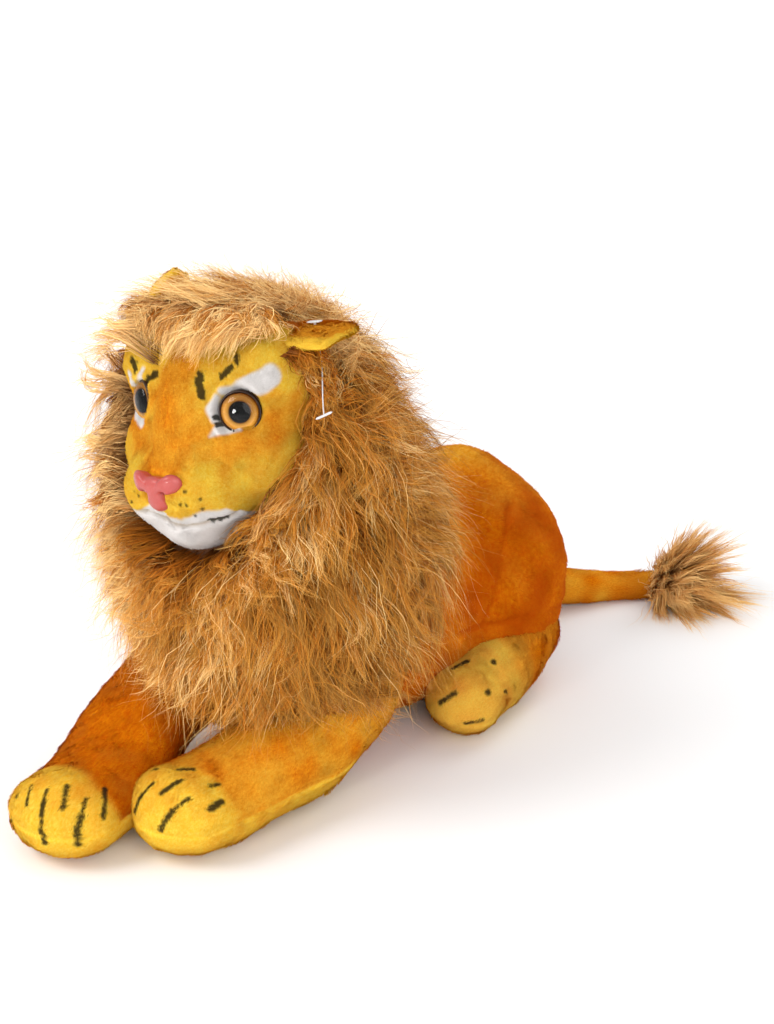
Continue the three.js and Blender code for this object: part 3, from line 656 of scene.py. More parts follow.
def makeBody():
    skin = starSkin(bodyForm, 7, -bodyShape["inset"], (1, 1.7, 1))
    waist = zone(skin["points"], **bodyShape["waistIn"]) * zone(skin["points"], **bodyShape["waistOut"])
    skin["points"][:, 0] *= 1 - bodyShape["waist"] * waist
    soft = wobble(skin["points"], 70, 3) + wobble(skin["points"], 30, 4) * 0.4
    skin["points"] = skin["points"] + skin["normals"] * soft[:, None]
    seams = [bodyShape["flankSeam"], mirrored(bodyShape["flankSeam"]), bodyShape["haunchSeam"],
             mirrored(bodyShape["haunchSeam"]), bodyShape["ridge"]]
    sew(skin, seams, *bodyShape["seam"])
    points = skin["points"]
    above(points, bodyShape["floorRoom"])
    # painted light on the top of the back (more yellow, less deep), and painted shade under the mane and in the seams
    # (more deep)
    shadeUnderMane, paintedLightOnTop, low = zone(points, y=(-10, -40)), zone(points, z=(88, 122)), zone(points, z=(22, 4))
    paint = paintOf(len(points), yellow=0.04 + 0.3 * paintedLightOnTop + 0.14 * wobble(points, 40, 5) + 0.4 * low,
                    deep=0.78 + 0.18 * wobble(points, 32, 6) + 0.3 * shadeUnderMane + 0.4 * skin["short"] - 0.5 * paintedLightOnTop)
    skinPiece("bodySkin", skin, paint, "lion", "rust_plush",
              ["torso_left_cover", "torso_right_cover", "belly_cover", "torso_filling",
               "haunch_cover_left", "haunch_cover_right", "haunch_filling_left", "haunch_filling_right"])
    pileOn("bodyPile", skin, paint, bodyPile, (0, 0.8, -0.6), "lion", "rust_plush",
           lambda at: (at[:, 2] > 1.5) * (at[:, 1] > -40))


makeBody()
print("body ready")

# legs

legShape = {
    "frontSpine": [[0.19, 1, 0], [0.21, 0.84, 0], [0.26, 0.62, 0.09], [0.31, 0.38, 0.17], [0.36, 0.14, 0.46],
                   [0.36, 0, 1]],
    "reach": {"left": 124, "right": 156}, "drift": 9, "low": 19.5, "shoulder": (-0.15, 0.63),
    "frontWidths": [56, 56, 52, 50, 50], "frontHeights": [40, 43, 50, 52, 52],
    "frontShift": {
        "left": [(0, 0, 0), (0, 0, 0), (-1, -2, 0), (-3, -5, 0), (-6, -13, 0), (-6, -10, 0)],
        "right": [(0, 0, 0), (-3, 0, 1), (-8, 0, 5), (-11, 0, 9), (-8, 0, 6), (0, 0, 0)],
    },
    "hindSpine": [[0.34, 1], [0.43, 0.5], [0.48, 0]], "hindLength": 66, "heelAt": 0.32,
    "hindWidths": [52, 48, 44], "hindHeights": [50, 44, 36],
    "inset": 1.2, "frontSeam": 19.5, "hindSeam": 10, "seamWide": 1.3, "seamDeep": 1.2,
    # how yellow and how rust coloured the plush is beyond the paw and the underside; the front legs are the same
    # plush, painted lighter on the left one and deeper on the right one, as painted light and shade
    "amber": {"frontLeft": 0.4, "frontRight": 0, "hindLeft": 0.12, "hindRight": 0.12},
    "rust": {"frontLeft": 0, "frontRight": 0.5, "hindLeft": 0.12, "hindRight": 0.12},
}
legPile = dict(bodyPile, seed=21, perSquare=2.6, most=100000, length=2.1, width=0.5, tuft=10)
pawMarks = {
    "frontRight": [
        ([(-38.6, -203.6, 34.8), (-35.3, -210.8, 29.5)], 0.7), ([(-29.3, -203.8, 35.8), (-27.2, -208.3, 32.5)], 0.6),
        ([(-27.2, -208.3, 32.5), (-25.6, -211.7, 27.9)], 1.0), ([(-24.9, -212.6, 25.7), (-24.6, -213.4, 21.4)], 0.9),
        ([(-24.6, -213.4, 21.4), (-23.3, -213.3, 16.2)], 1.3), ([(-22.9, -197.7, 37.1), (-18.4, -205.7, 31.4)], 1.1),
        ([(-12.8, -196.7, 33.5), (-11.4, -201.2, 29.6)], 0.6), ([(-10.9, -202.6, 28.0), (-10.5, -206.0, 22.2)], 1.4),
        ([(-10.5, -206.0, 22.2), (-10.1, -206.2, 16.4)], 1.6), ([(-12.0, -185.5, 33.4), (-5.1, -194.6, 26.2)], 1.1),
        ([(-44.1, -207.4, 29.9), (-46.7, -209.8, 18.0)], 0.6),
    ],
    "frontLeft": [
        ([(-1.7, -161.7, 36.0), (-9.6, -159.9, 30.2)], 0.6), ([(8.9, -159.2, 38.0), (14.5, -155.5, 38.3)], 0.8),
        ([(3.9, -170.5, 34.8), (1.4, -176.0, 30.1)], 0.6), ([(1.4, -176.0, 30.1), (0.3, -179.4, 23.3)], 1.0),
        ([(15.1, -165.6, 37.2), (11.5, -174.1, 33.7)], 1.1), ([(24.0, -171.0, 33.5), (20.5, -177.9, 29.2)], 0.8),
        ([(20.5, -177.9, 29.2), (17.3, -182.2, 21.3)], 1.3), ([(26.6, -158.7, 35.1), (28.1, -154.9, 34.7)], 0.7),
        ([(33.9, -160.0, 30.2), (33.0, -166.7, 29.6)], 1.3),
    ],
    "hindLeft": [
        ([(40.1, 14.2, 33.2), (36.3, 6.7, 32.0)], 0.6), ([(50.3, 13.1, 35.0), (47.1, 5.6, 33.3)], 1.1),
        ([(55.8, -5.8, 26.8), (49.1, -8.6, 20.7)], 1.1), ([(68.7, -1.2, 14.1), (62.2, -6.3, 12.6)], 0.8),
        ([(45.8, 25.5, 38.9), (46.1, 25.3, 38.9)], 1.1), ([(60.8, 20.9, 34.5), (61.0, 20.7, 34.4)], 1.2),
        ([(68.2, 4.2, 26.5), (68.3, 4.1, 26.4)], 1.3), ([(70.7, 16.7, 22.7), (70.8, 16.6, 22.6)], 0.9),
    ],
}
pawMarks["hindRight"] = [(mirrored(line), size) for line, size in pawMarks["hindLeft"]]
sideSign = {"left": 1, "right": -1}


def frontSpine(name):
    shape = legShape
    top = shape["shoulder"][1] * bodyShape["height"]
    return [[sideSign[name] * x * bodyShape["width"] - ahead * shape["drift"],
             shape["shoulder"][0] * bodyShape["length"] - ahead * shape["reach"][name],
             shape["low"] + rise * (top - shape["low"])] for x, ahead, rise in shape["frontSpine"]]


def softSpine(name):
    # where the limp sleeve lies over the line of its filling
    return [[a + b for a, b in zip(point, shift)]
            for point, shift in zip(frontSpine(name), legShape["frontShift"][name])]


def hindSpine(name):
    shape = legShape
    heel = shape["heelAt"] * bodyShape["length"]
    return [[sideSign[name] * x * bodyShape["width"], heel - (1 - back) * shape["hindLength"], high / 2 - 0.5]
            for (x, back), high in zip(shape["hindSpine"], shape["hindHeights"])]


def inkOn(points, marks, edge=0.45, seed=91, broken=0.18):
    # drawn marks: full inside their width, broken up a little where the pile scatters them
    ink = np.zeros(len(points))
    rough = wobble(points, 2.6, seed) * broken
    for line, size in marks:
        away = np.maximum(awayFrom(points, line) - 0.4, 0)
        ink = np.maximum(ink, 1 - smoothStep(away / size + rough, 0.75 - edge / 2, 1.15 + edge / 2))
    return ink


def legPaint(kind, name, points, seamAt):
    label = kind + name.capitalize()
    tip = frontSpine(name)[0] if kind == "front" else hindSpine(name)[-1]
    fromPaw = points[:, 1] - tip[1]
    blur = wobble(points, 22, 77) * 2.5
    mottle = wobble(points, 14, 78) * 0.14 + wobble(points, 38, 79) * 0.16
    amber, rust = legShape["amber"][label], legShape["rust"][label]
    if kind == "front":
        paw = smoothStep(fromPaw + 0.6 * blur, 8, 1)
        under = smoothStep(points[:, 2] + 0.2 * blur, seamAt + 0.8, seamAt - 1.2)
        # the painted shade on the front leg grows deeper towards the shoulder
        rust = rust + 0.6 * rust * smoothStep(fromPaw, 50, 110)
    else:
        paw = smoothStep(fromPaw + blur * 2, 42, 10)
        under = smoothStep(points[:, 2] + 0.2 * blur, seamAt + 4, seamAt - 2)
        under = under * (1 - 0.6 * smoothStep(fromPaw, 24, 64))
    yellow = np.maximum(paw, under)
    # painted light: a little white that lightens the yellow of the hind paws
    lit = 0.03 * yellow if kind == "hind" else 0.0
    return paintOf(len(points), yellow=yellow * (0.9 + mottle) + (1 - yellow) * (amber + mottle), white=lit,
                   deep=(rust + mottle) * (1 - 0.92 * yellow), ink=inkOn(points, pawMarks[label]))


def makeLeg(kind, name):
    front = kind == "front"
    shape = legShape
    spine = softSpine(name) if front else hindSpine(name)
    skin = limbSkin(spine, shape[kind + "Widths"], shape[kind + "Heights"], rings=150, sides=150,
                    level=-shape["inset"])
    soft = wobble(skin["points"], 40, 31 + front) * 0.6
    skin["points"] = skin["points"] + skin["normals"] * soft[:, None]
    seamAt = shape[kind + "Seam"]
    groove = bell(skin["points"][:, 2] - seamAt, shape["seamWide"])
    if not front:
        groove = groove * smoothStep(skin["points"][:, 1], 60, 30)
    skin["short"] = groove
    skin["points"] = points = skin["points"] - skin["normals"] * (groove * shape["seamDeep"])[:, None]
    above(points, bodyShape["floorRoom"])
    paint = legPaint(kind, name, points, seamAt)
    part = "front_leg" if front else "hind_foot"
    nodes = [f"{part}_cover_{name}", f"{kind}_sole_{name}", f"{part}_filling_{name}"]
    label = f"{kind}Leg{name.capitalize()}"
    skinPiece(label + "Skin", skin, paint, "lion", "amber_plush", nodes)
    look = dict(legPile, seed=legPile["seed"] + len(label) + sideSign[name])
    pileOn(label + "Pile", skin, paint, look, (0, -0.8, -0.5), "lion", "amber_plush",
           lambda at: (at[:, 2] > 0.8) * (formLevel(bodyForm, at) > -2),
           lambda at: legPaint(kind, name, at, seamAt))


for kind in ("front", "hind"):
    for name in ("left", "right"):
        makeLeg(kind, name)
print("legs ready")

# head

headShape = {
    "at": (0, -95, 190), "roll": 7, "yaw": 3,
    "width": 92, "depth": 84, "height": 88,
    "inset": 0.9,
}


def headPlace(x, y, z):
    return np.array([x * headShape["width"], y * headShape["depth"], z * headShape["height"]])


headTurn = np.array(Matrix.Rotation(math.radians(-headShape["yaw"]), 3, "Z")
                    @ Matrix.Rotation(math.radians(headShape["roll"]), 3, Vector((0, -1, 0))))


def toWorld(points):
    return np.asarray(points) @ headTurn.T + np.array(headShape["at"])


def toHead(points):
    return (np.asarray(points) - np.array(headShape["at"])) @ headTurn


cadHead = {
    "core": headPlace(0, -0.1, -0.14),
    "lumps": [
        (headPlace(0, 0, 0), headPlace(1, 1, 1)),
        (headPlace(0, -0.43, -0.27), headPlace(0.64, 0.6, 0.45)),
        (headPlace(0, -0.43, -0.04), headPlace(0.32, 0.36, 0.56)),
        (headPlace(0.28, -0.2, -0.2), headPlace(0.56, 0.58, 0.56)),
        (headPlace(-0.28, -0.2, -0.2), headPlace(0.56, 0.58, 0.56)),
        (headPlace(0, -0.4, -0.48), headPlace(0.44, 0.48, 0.3)),
    ],
    "blend": 0.12 * headShape["height"],
}
# the plush is fuller than the hard form at the temples and the whisker pads
headForm = dict(cadHead, lumps=cadHead["lumps"] + [
    (headPlace(x * 0.36, -0.1, 0.23), headPlace(0.44, 0.56, 0.5)) for x in (1, -1)] + [
    (headPlace(x * 0.17, -0.5, -0.31), headPlace(0.34, 0.38, 0.3)) for x in (1, -1)])
headPile = dict(bodyPile, seed=41, perSquare=4.5, most=130000, length=1.5, width=0.42, ruffle=0.2, tuft=8)
faceMarks = {
    "ink": [
        ([(-35.0, -30.4, 25.9), (-33.3, -32.1, 22.8)], 1.7), ([(-19.9, -33.2, 21.5), (-22.7, -32.9, 18.9)], 1.8),
        ([(-22.7, -32.9, 18.9), (-28.3, -28.9, 13.6)], 1.4), ([(7.7, -33.3, 23.7), (9.4, -36.1, 20.2)], 1.8),
        ([(9.4, -36.1, 20.2), (12.3, -38.4, 15.3)], 1.4), ([(22.6, -29.4, 26.6), (19.1, -31.1, 23.2)], 1.8),
        ([(23.8, -26.7, 30.8), (26.3, -28.5, 29.3)], 1.6), ([(18.4, -37.9, 6.6), (20.1, -36.2, 5.7)], 1.0),
        ([(19.6, -37.9, 3.7), (21.7, -35.8, 4.0)], 1.0), ([(22.4, -52.5, -33.7), (26.9, -47.3, -33.6)], 1.2),
    ],
    "dots": [(15.3, -58.9, -20.8), (22.0, -56.9, -23.9), (15.8, -59.5, -26.5), (12.9, -60.0, -26.4),
             (22.5, -56.9, -28.1), (18.6, -57.8, -31.3), (-18.6, -57.9, -29.4), (-12.2, -59.6, -25.5)],
    "whites": [([(20.4, -33.7, 16.9), (30.8, -30.8, 19.3), (40.0, -29.8, 22.4), (42.9, -27.6, 24.3)],
                (1.2, 3.0, 5.2, 5.0)),
               ([(18.4, -35.7, 14.6), (17.3, -38.4, 10.8), (18.6, -38.0, 6.4)], (1.6, 2.8, 2.0)),
               ([(17.2, -41.6, -1.1), (21.4, -38.2, 1.4), (28.2, -34.2, 1.4)], (1.0, 2.6, 1.0)),
               ([(-28.5, -32.6, 22.3), (-30, -30, 16), (-31, -28, 11)], (0.8, 1.9, 1.6)),
               ([(-38, -29.5, 19), (-36, -29, 15.5)], (1.8, 1.8)),
               ([(-40, -28, 2.5), (-31.8, -32.6, 0.7), (-28.6, -35.4, -1.4)], (2.2, 2.6, 1.2))],
    "mouth": [(-27, -47, -32.5), (-20, -53, -32.6), (-9.7, -57.9, -33.2), (-3.2, -55.8, -35.7), (2.5, -54.0, -37.9),
              (13.4, -54.1, -36.9), (22.4, -52.5, -34.0), (26.9, -47.3, -33.8), (30, -43, -33)],
    "lip": ([-30, -20, -14, -9, -6, -3, 2, 10, 16, 22, 30, 34, 40],
            [-34, -34, -33.5, -31, -28.5, -31, -34.5, -34, -32, -29.8, -29.4, -37, -46]),
    "dart": [(23.2, -43.5, -11.1), (27.0, -42.5, -13.6), (30.1, -41.8, -16.7)],
    "crease": [(11.8, -46.9, -6.1), (10.9, -49.1, -8.2), (11.6, -52.3, -11.7)],
    "philtrum": [(0, -60, -28), (0, -56, -36)],
    "bridge": [(-3, -19, 24), (-2, -22, 12), (-1, -26, 0), (0, -33, -12)],
    "band": [(16, -42, -2), (26, -39, -5), (38, -30, -1), (47, -22, 8)],
    "nose": (0, -60, -20),
    "edge": [(43.8, -23.8, 30.3), (48.3, -20.6, 26.4), (50.5, -18.8, 20.8), (50.5, -16.7, 13.7), (48.5, -14.3, 6.2),
             (46.9, -15.2, -2.5), (48.8, -20.6, -9.7), (48.0, -27.5, -16.7), (42.6, -32.6, -25.6),
             (36.3, -34.7, -30.7), (30.1, -36.3, -35.9), (22, -37, -43), (10, -38, -50)],
}
headEyes = {"across": 28.2, "rise": 8.7, "yaw": 30, "pitch": 4}
headSew = {
    # depth and width of each seam
    "mouth": (2.4, 1.7), "philtrum": (1.0, 1.5), "dart": (0.9, 1.2), "crease": (1.4, 2.6),
    # the eyes sit in round sockets with a lid of cloth over them and at the bridge; the right one is less tall
    "socket": (1.2, 10.6), "lid": (13.2, 2.4), "upper": 1.3, "inner": 3.0, "narrow": 0.24,
    # no pile within these distances of an eye or the nose, or further back than this
    "eyeRoom": 9.3, "noseRoom": 8, "backTo": 2,
}


def eyeSeat(side):
    yaw, pitch = side * math.radians(headEyes["yaw"]), math.radians(headEyes["pitch"])
    look = np.array([math.sin(yaw) * math.cos(pitch), -math.cos(yaw) * math.cos(pitch), math.sin(pitch)])
    seat = skinPoint(cadHead, (side * headEyes["across"], 0, headEyes["rise"]), (0, -1, 0))
    return seat, look


def onHead(line):
    return toLevel(headForm, np.array(line, float), 0)


def facePaint(points):
    points = toLevel(headForm, points, 0, 2)
    x, y, z = points.T
    blur = wobble(points, 9, 61) * 1.4 + wobble(points, 20, 62) * 1.6
    orange = 0.62 * smoothStep(awayFrom(points * [1, 0.6, 1], faceMarks["bridge"]) + blur, 20, 8)
    for band in (faceMarks["band"], mirrored(faceMarks["band"])):
        orange = np.maximum(orange, 0.56 * smoothStep(awayFrom(points, band) + blur, 15, 3))
    muzzle = zone(points, z=(-12, -22), y=(-38, -46), side=(7, 13))
    forehead = zone(points + [5, 0, 0], z=(14, 22), side=(8, 16), y=(-8, -16))
    orange = orange * (1 - 0.7 * muzzle) * (1 - 0.8 * forehead) + 0.1 + 0.12 * wobble(points, 12, 63)
    white = np.zeros(len(points))
    for line, sizes in faceMarks["whites"]:
        away, along = lineDistance(points, onHead(line))
        wide = np.interp(along, np.linspace(0, 1, len(sizes)), sizes)
        white = np.maximum(white, 1 - smoothStep(away - wide + 0.3 * blur, -0.8, 1.2))
    lower = smoothStep(np.interp(x, *faceMarks["lip"]) + 0.2 * blur - z, -0.9, 1.1) * smoothStep(-y, 18, 26)
    white = np.maximum(white, lower)
    ink = inkOn(points, [(onHead(line), size) for line, size in faceMarks["ink"]], 0.4, 91, 0.32)
    for dot in onHead(faceMarks["dots"]):
        ink = np.maximum(ink, 0.9 * (1 - smoothStep(np.linalg.norm(points - dot, axis=1), 0.6, 1.2)))
    # painted shade: deeper colour along the sewn muzzle creases and, mottled, on the cheeks
    crease = np.minimum(*(awayFrom(points, line) for line in (faceMarks["crease"], mirrored(faceMarks["crease"]))))
    deep = 0.3 * smoothStep(crease + blur, 6, 0)
    deep = deep + zone(points, side=(22, 44), z=(14, -6)) * (0.16 + 0.1 * wobble(points, 11, 64))
    deep = np.maximum(deep, smoothStep(y + 0.15 * np.abs(z), -8, 2))
    groove = bell(awayFrom(points, onHead(faceMarks["mouth"])), 1.0)
    # painted shade: a share of dark ink over the whole face, more towards its left side, and more ink and less white
    # in the mouth groove
    paintedFaceShade = 0.19 + 0.1 * smoothStep(x, 8, 40)
    return paintOf(len(points), yellow=1 - orange, white=white * (1 - 0.25 * groove),
                   ink=np.maximum(ink, paintedFaceShade + 0.15 * groove), deep=deep * (1 - white))


def makeHead():
    skin = starSkin(headForm, 7, -headShape["inset"])
    points = skin["points"]
    mouthAway = awayFrom(points, faceMarks["mouth"])
    dent = np.zeros(len(points))
    sewn = headSew
    for label in ("mouth", "philtrum", "dart", "crease"):
        line, (depth, width) = faceMarks[label], sewn[label]
        for chain in (line, mirrored(line)) if label in ("dart", "crease") else (line,):
            dent += depth * bell(awayFrom(points, chain), width)
    for side in (1, -1):
        seat, _ = eyeSeat(side)
        away = np.linalg.norm(points - seat, axis=1)
        rise = np.maximum(formLevel(cadHead, points) + headShape["inset"], 0)
        narrow = 1 + (side < 0) * sewn["narrow"] * smoothStep(np.abs(points[:, 2] - seat[2]), 2, 7)
        depth, width = sewn["socket"]
        dent += (rise + depth) * bell(away * narrow, width, 6)
        upper = smoothStep(points[:, 2] - seat[2], 2, 9)
        inner = smoothStep(-side * (points[:, 0] - side * 28), 3, 8)
        lidAt, lidWide = sewn["lid"]
        dent -= np.maximum(sewn["upper"] * upper, sewn["inner"] * inner) * bell(away * narrow - lidAt, lidWide)
    soft = wobble(points, 26, 65) * 0.35
    points = points - skin["normals"] * (dent - soft)[:, None]
    skin["normals"] = pointNormals(points, skin["faces"])
    paint = facePaint(points)
    skin["short"] = bell(mouthAway, 1.6)
    skin["points"] = toWorld(points)
    skin["normals"] = skin["normals"] @ headTurn.T
    skinPiece("headSkin", skin, paint, "lion", "amber_plush",
              ["face_cover", "chin_cover", "head_back_cover", "head_filling"])

    def bare(at):
        here = toHead(at)
        free = np.ones(len(here))
        for side in (1, -1):
            seat, _ = eyeSeat(side)
            free *= np.linalg.norm((here - seat) * [1, 1, 1.2 if side < 0 else 1], axis=1) > headSew["eyeRoom"]
        free *= np.linalg.norm((here - faceMarks["nose"]) * [0.8, 0.6, 1.2], axis=1) > headSew["noseRoom"]
        return free * (here[:, 1] < headSew["backTo"])

    pileOn("headPile", skin, paint, headPile, (0, 0.9, 0.25), "lion", "amber_plush", bare,
           lambda at: facePaint(toHead(at)))


makeHead()
print("head ready")

# eyes

eyeShape = {"radius": 8.7, "rim": 9.5, "iris": 8.1, "sink": 1.4, "dome": 4.2}


def seatFrame(origin, look):
    turn = Vector((0, 0, 1)).rotation_difference(Vector(look)).to_matrix()
    return np.array(turn), np.array(origin)


def lathe(profile, count=72):
    profile = np.array(profile, float)
    angle = math.tau * np.arange(count) / count
    points = np.stack([profile[:, None, 0] * np.cos(angle), profile[:, None, 0] * np.sin(angle),
                       profile[:, None, 1] + 0 * angle], -1)
    return points.reshape(-1, 3), tubeFaces(len(profile), count)


def eyeDiscMaterial():
    material, start = newMaterial("eyeDisc")
    spot = start.node("ShaderNodeVertexColor", {"layer_name": "paint"})
    away = start.node("ShaderNodeSeparateColor", None, {0: spot})
    turn, high = away.part(1), away.part(2)
    rays = start.node("ShaderNodeTexNoise", {"noise_dimensions": "2D"}, {
        "Vector": start.node("ShaderNodeCombineXYZ", None, {0: away * 2, 1: turn * 40, 2: 0.0}),
        "Scale": 2.2, "Detail": 4.0})
    iris = away.node("ShaderNodeValToRGB", {"stops": [
        (0.0, seen(2, 2, 3)), (0.52, seen(3, 3, 3)), (0.55, seen(112, 72, 22)), (0.62, seen(196, 136, 50)),
        (0.76, seen(232, 172, 76)), (0.86, seen(206, 134, 44)), (0.93, seen(112, 60, 18)), (1.0, seen(26, 12, 5))]},
        {"Fac": away})
    colour = (rays.steep(0.35, 0.7) * 0.35).mix(iris, seen(168, 104, 36))
    # painted shade: the upper part of the iris is darker brown, as in the shadow of the rim
    colour = (high.steep(0.45, 0.95) * 0.8).mix(colour, seen(92, 46, 14))
    core = away.steep(0.52, 0.55)
    colour = core.mix(seen(3, 3, 4), colour)
    finishMaterial(start, colour, 0.8, None, **{"Specular IOR Level": 0.0})
    return material


def eyeLensMaterial():
    material, start = newMaterial("eyeLens")
    finishMaterial(start, (1, 1, 1, 1), 0.0, None, **{"Transmission Weight": 1.0, "IOR": 1.32})
    return material


def glossBrown():
    material, start = newMaterial("eyeRimBrown")
    tint = noise(start, 300, 2).mix(seen(28, 14, 7), seen(48, 24, 10))
    finishMaterial(start, tint, 0.3, None, **{"Specular IOR Level": 0.3})
    return material


eyeDisc, eyeGlass, eyeRimBrown = eyeDiscMaterial(), eyeLensMaterial(), glossBrown()


def makeEye(side, name):
    shape = eyeShape
    seat, look = eyeSeat(side)
    turn, origin = seatFrame(seat - look * shape["sink"], look)

    def placed(points):
        return toWorld(points @ turn.T + origin)

    ring = [(0, -0.4), (shape["rim"] - 1, -0.4), (shape["rim"] - 0.3, 0.1), (shape["rim"], 0.9),
            (shape["rim"] - 0.1, 1.8), (shape["rim"] - 0.3, 2.3), (shape["radius"] + 0.1, 2.5),
            (shape["iris"] + 0.4, 2.0), (shape["iris"] + 0.3, 1.0)]
    points, faces = lathe(ring)
    rim = makeMesh(f"eyeRim{name}", placed(points), faces, eyeRimBrown)
    outer = shape["iris"] + 0.15
    points, faces = lathe([(outer - k * outer / 24, 1.6) for k in range(25)])
    paint = np.zeros((len(points), 4))
    paint[:, 0] = np.hypot(points[:, 0], points[:, 1]) / outer
    paint[:, 1] = np.abs(np.arctan2(points[:, 1], points[:, 0])) / math.pi
    # the height across the disc, which the painted shade on the upper iris reads
    paint[:, 2] = 0.5 + 0.5 * points[:, 1] / outer
    disc = makeMesh(f"eyeDisc{name}", placed(points), faces, eyeDisc, {"paint": paint})
    # the disc lies just inside the back of the lens, as paint on it would
    inner = shape["iris"] + 0.25
    back, edge, steps = 1.4, 1.95, 14
    dome = [(0, back), (inner * 0.5, back), (inner - 0.1, back), (inner, edge)]
    for k in range(1, steps + 1):
        a = k * math.pi / 2 / steps
        dome.append((inner * math.cos(a) ** 0.9 if k < steps else 0, edge + shape["dome"] * math.sin(a)))
    points, faces = lathe(dome)
    lens = makeMesh(f"eyeLens{name}", placed(points), faces, eyeGlass)
    belongs(rim, "lion", "eye_plastic", f"eye_base_{name.lower()}")
    belongs(disc, "lion", "eye_plastic")
    belongs(lens, "lion", "clear_lens", f"eye_lens_{name.lower()}")


makeEye(1, "Left")
makeEye(-1, "Right")
print("eyes ready")

# nose

noseShape = {
    "depth": 6.4, "sink": 3.4, "tilt": -8, "far": 16, "blend": 1.8, "at": -0.24,
    "wall": 0.25, "wallHigh": 0.35,  # share of the rows and of the depth that the upright edge takes
    "nostril": {"side": 5.6, "rise": -0.4, "half": (1.3, 1.2), "depth": 1.8},
    "wing": {"side": 8.5, "half": 3, "high": 0.5},
    # middle and half size of each round part
    "lobes": [(-9.2, 3.5, 4.6, 4.2), (9.2, 3.5, 4.6, 4.2), (0, 2.6, 8.5, 3.4), (0, -2.5, 4.5, 6.5),
              (0, -6.6, 5.1, 3.4)],
}


def nosePink():
    material, start = newMaterial("nosePink")
    spots = noise(start, 240, 3).steep(0.35, 0.65)
    colour = spots.mix(seen(166, 54, 48), seen(182, 70, 62))
    bump = bumpOf(start, noise(start, 1400, 2), 0.00008)
    finishMaterial(start, colour, 0.32, bump, **{"Coat Weight": 0.5, "Coat Roughness": 0.12})
    return material


def noseReach(angle):
    # half size of the nose at an angle: two round wings on top, a narrow foot below
    x, z = np.cos(angle), np.sin(angle)
    best = np.zeros_like(angle)
    for reach in np.linspace(noseShape["far"], 0, 321):
        level = None
        for cx, cz, rx, rz in noseShape["lobes"]:
            here = (np.hypot((x * reach - cx) / rx, (z * reach - cz) / rz) - 1) * min(rx, rz)
            level = swell(level, here, noseShape["blend"])
        best = np.where((level <= 0) & (best == 0), reach, best)
    return best


def makeNose():
    shape = noseShape
    tilt = math.radians(shape["tilt"])
    look = np.array([0, -math.cos(tilt), math.sin(tilt)])
    seat = skinPoint(cadHead, headPlace(0, 0, shape["at"]), (0, -1, 0))
    count, rows = 144, 26
    angle = math.tau * np.arange(count) / count
    reach = noseReach(angle)
    points = []
    wall, wallHigh, pit, wing = shape["wall"], shape["wallHigh"], shape["nostril"], shape["wing"]
    for k in range(rows):
        share = k / (rows - 1)
        if share < wall:
            out, up = 0.86 + 0.14 * share / wall, share / wall * shape["depth"] * wallHigh
        else:
            turn = (share - wall) / (1 - wall) * math.pi / 2
            out, up = math.cos(turn) ** 0.62, shape["depth"] * (wallHigh + (1 - wallHigh) * math.sin(turn) ** 0.85)
        out = max(out, 0.003)
        px, pz = np.cos(angle) * reach * out, np.sin(angle) * reach * out
        lift = up + 0 * px
        for side in (1, -1):
            hole = bell(px - side * pit["side"], pit["half"][0]) * bell(pz - pit["rise"], pit["half"][1])
            lift = lift - pit["depth"] * hole * (share > 0.3)
        lift = lift - 0.012 * px ** 2 + wing["high"] * bell(np.abs(px) - wing["side"], wing["half"])
        points.append(np.stack([px, lift, pz], -1))
    points = np.array(points).reshape(-1, 3)
    up = np.array([0, math.sin(tilt), math.cos(tilt)])
    origin = seat - look * shape["sink"]
    placed = origin + points[:, :1] * [1, 0, 0] + points[:, 1:2] * look + points[:, 2:] * up
    piece = makeMesh("nosePad", toWorld(placed), tubeFaces(rows, count, True), nosePink())
    belongs(piece, "lion", "nose_plastic", "nose")


makeNose()


def washerWhite():
    material, start = newMaterial("washerWhite")
    colour = noise(start, 200, 2).mix(seen(226, 226, 222), seen(238, 238, 234))
    finishMaterial(start, colour, 0.6, bumpOf(start, noise(start, 900, 2), 0.00005))
    for node in ("eye_washer_left", "eye_washer_right", "nose_washer"):
        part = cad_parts[node]
        part.data.materials.clear()
        part.data.materials.append(material)


washerWhite()
print("nose ready")

# ears and the tag fastener

earShape = {
    "length": {"left": 33, "right": 36.8}, "width": 35, "thickness": 6.4, "cup": 5,
    # the back of the left ear has less rust than the right one's, as painted light on its top
    "blunt": {"left": 0.93, "right": 0.86}, "rust": {"left": 0.7, "right": 0.85},
    "out": 3.8, "sunk": 1.5, "corner": 0.5,
    "rest": {"left": 6, "right": 106}, "seat": {"left": 43, "right": 60},
    "outline": {"left": [0.72, 0.9, 1, 1, 0.98, 0.94, 0.84], "right": [0.6, 0.72, 0.8, 0.82, 0.76, 0.6, 0.3]},
}
earPile = dict(headPile, seed=61, most=30000, length=1.6, stand=0.35, lean=0.9, ruffle=0.25, loose=0.16, tuft=6)


def earFrame(name):
    side = sideSign[name]
    angle, lift = math.radians(earShape["seat"][name]), math.radians(earShape["rest"][name])
    toSeat = np.array([side * math.sin(angle), 0, math.cos(angle)])
    seat = skinPoint(cadHead, (0, 0, 0), toSeat) + toSeat * earShape["out"]
    along = np.array([side * math.cos(lift), 0, math.sin(lift)])
    back = np.array([-side * math.sin(lift), 0, math.cos(lift)])
    return np.stack([along, np.cross(back, along), back], 1), seat


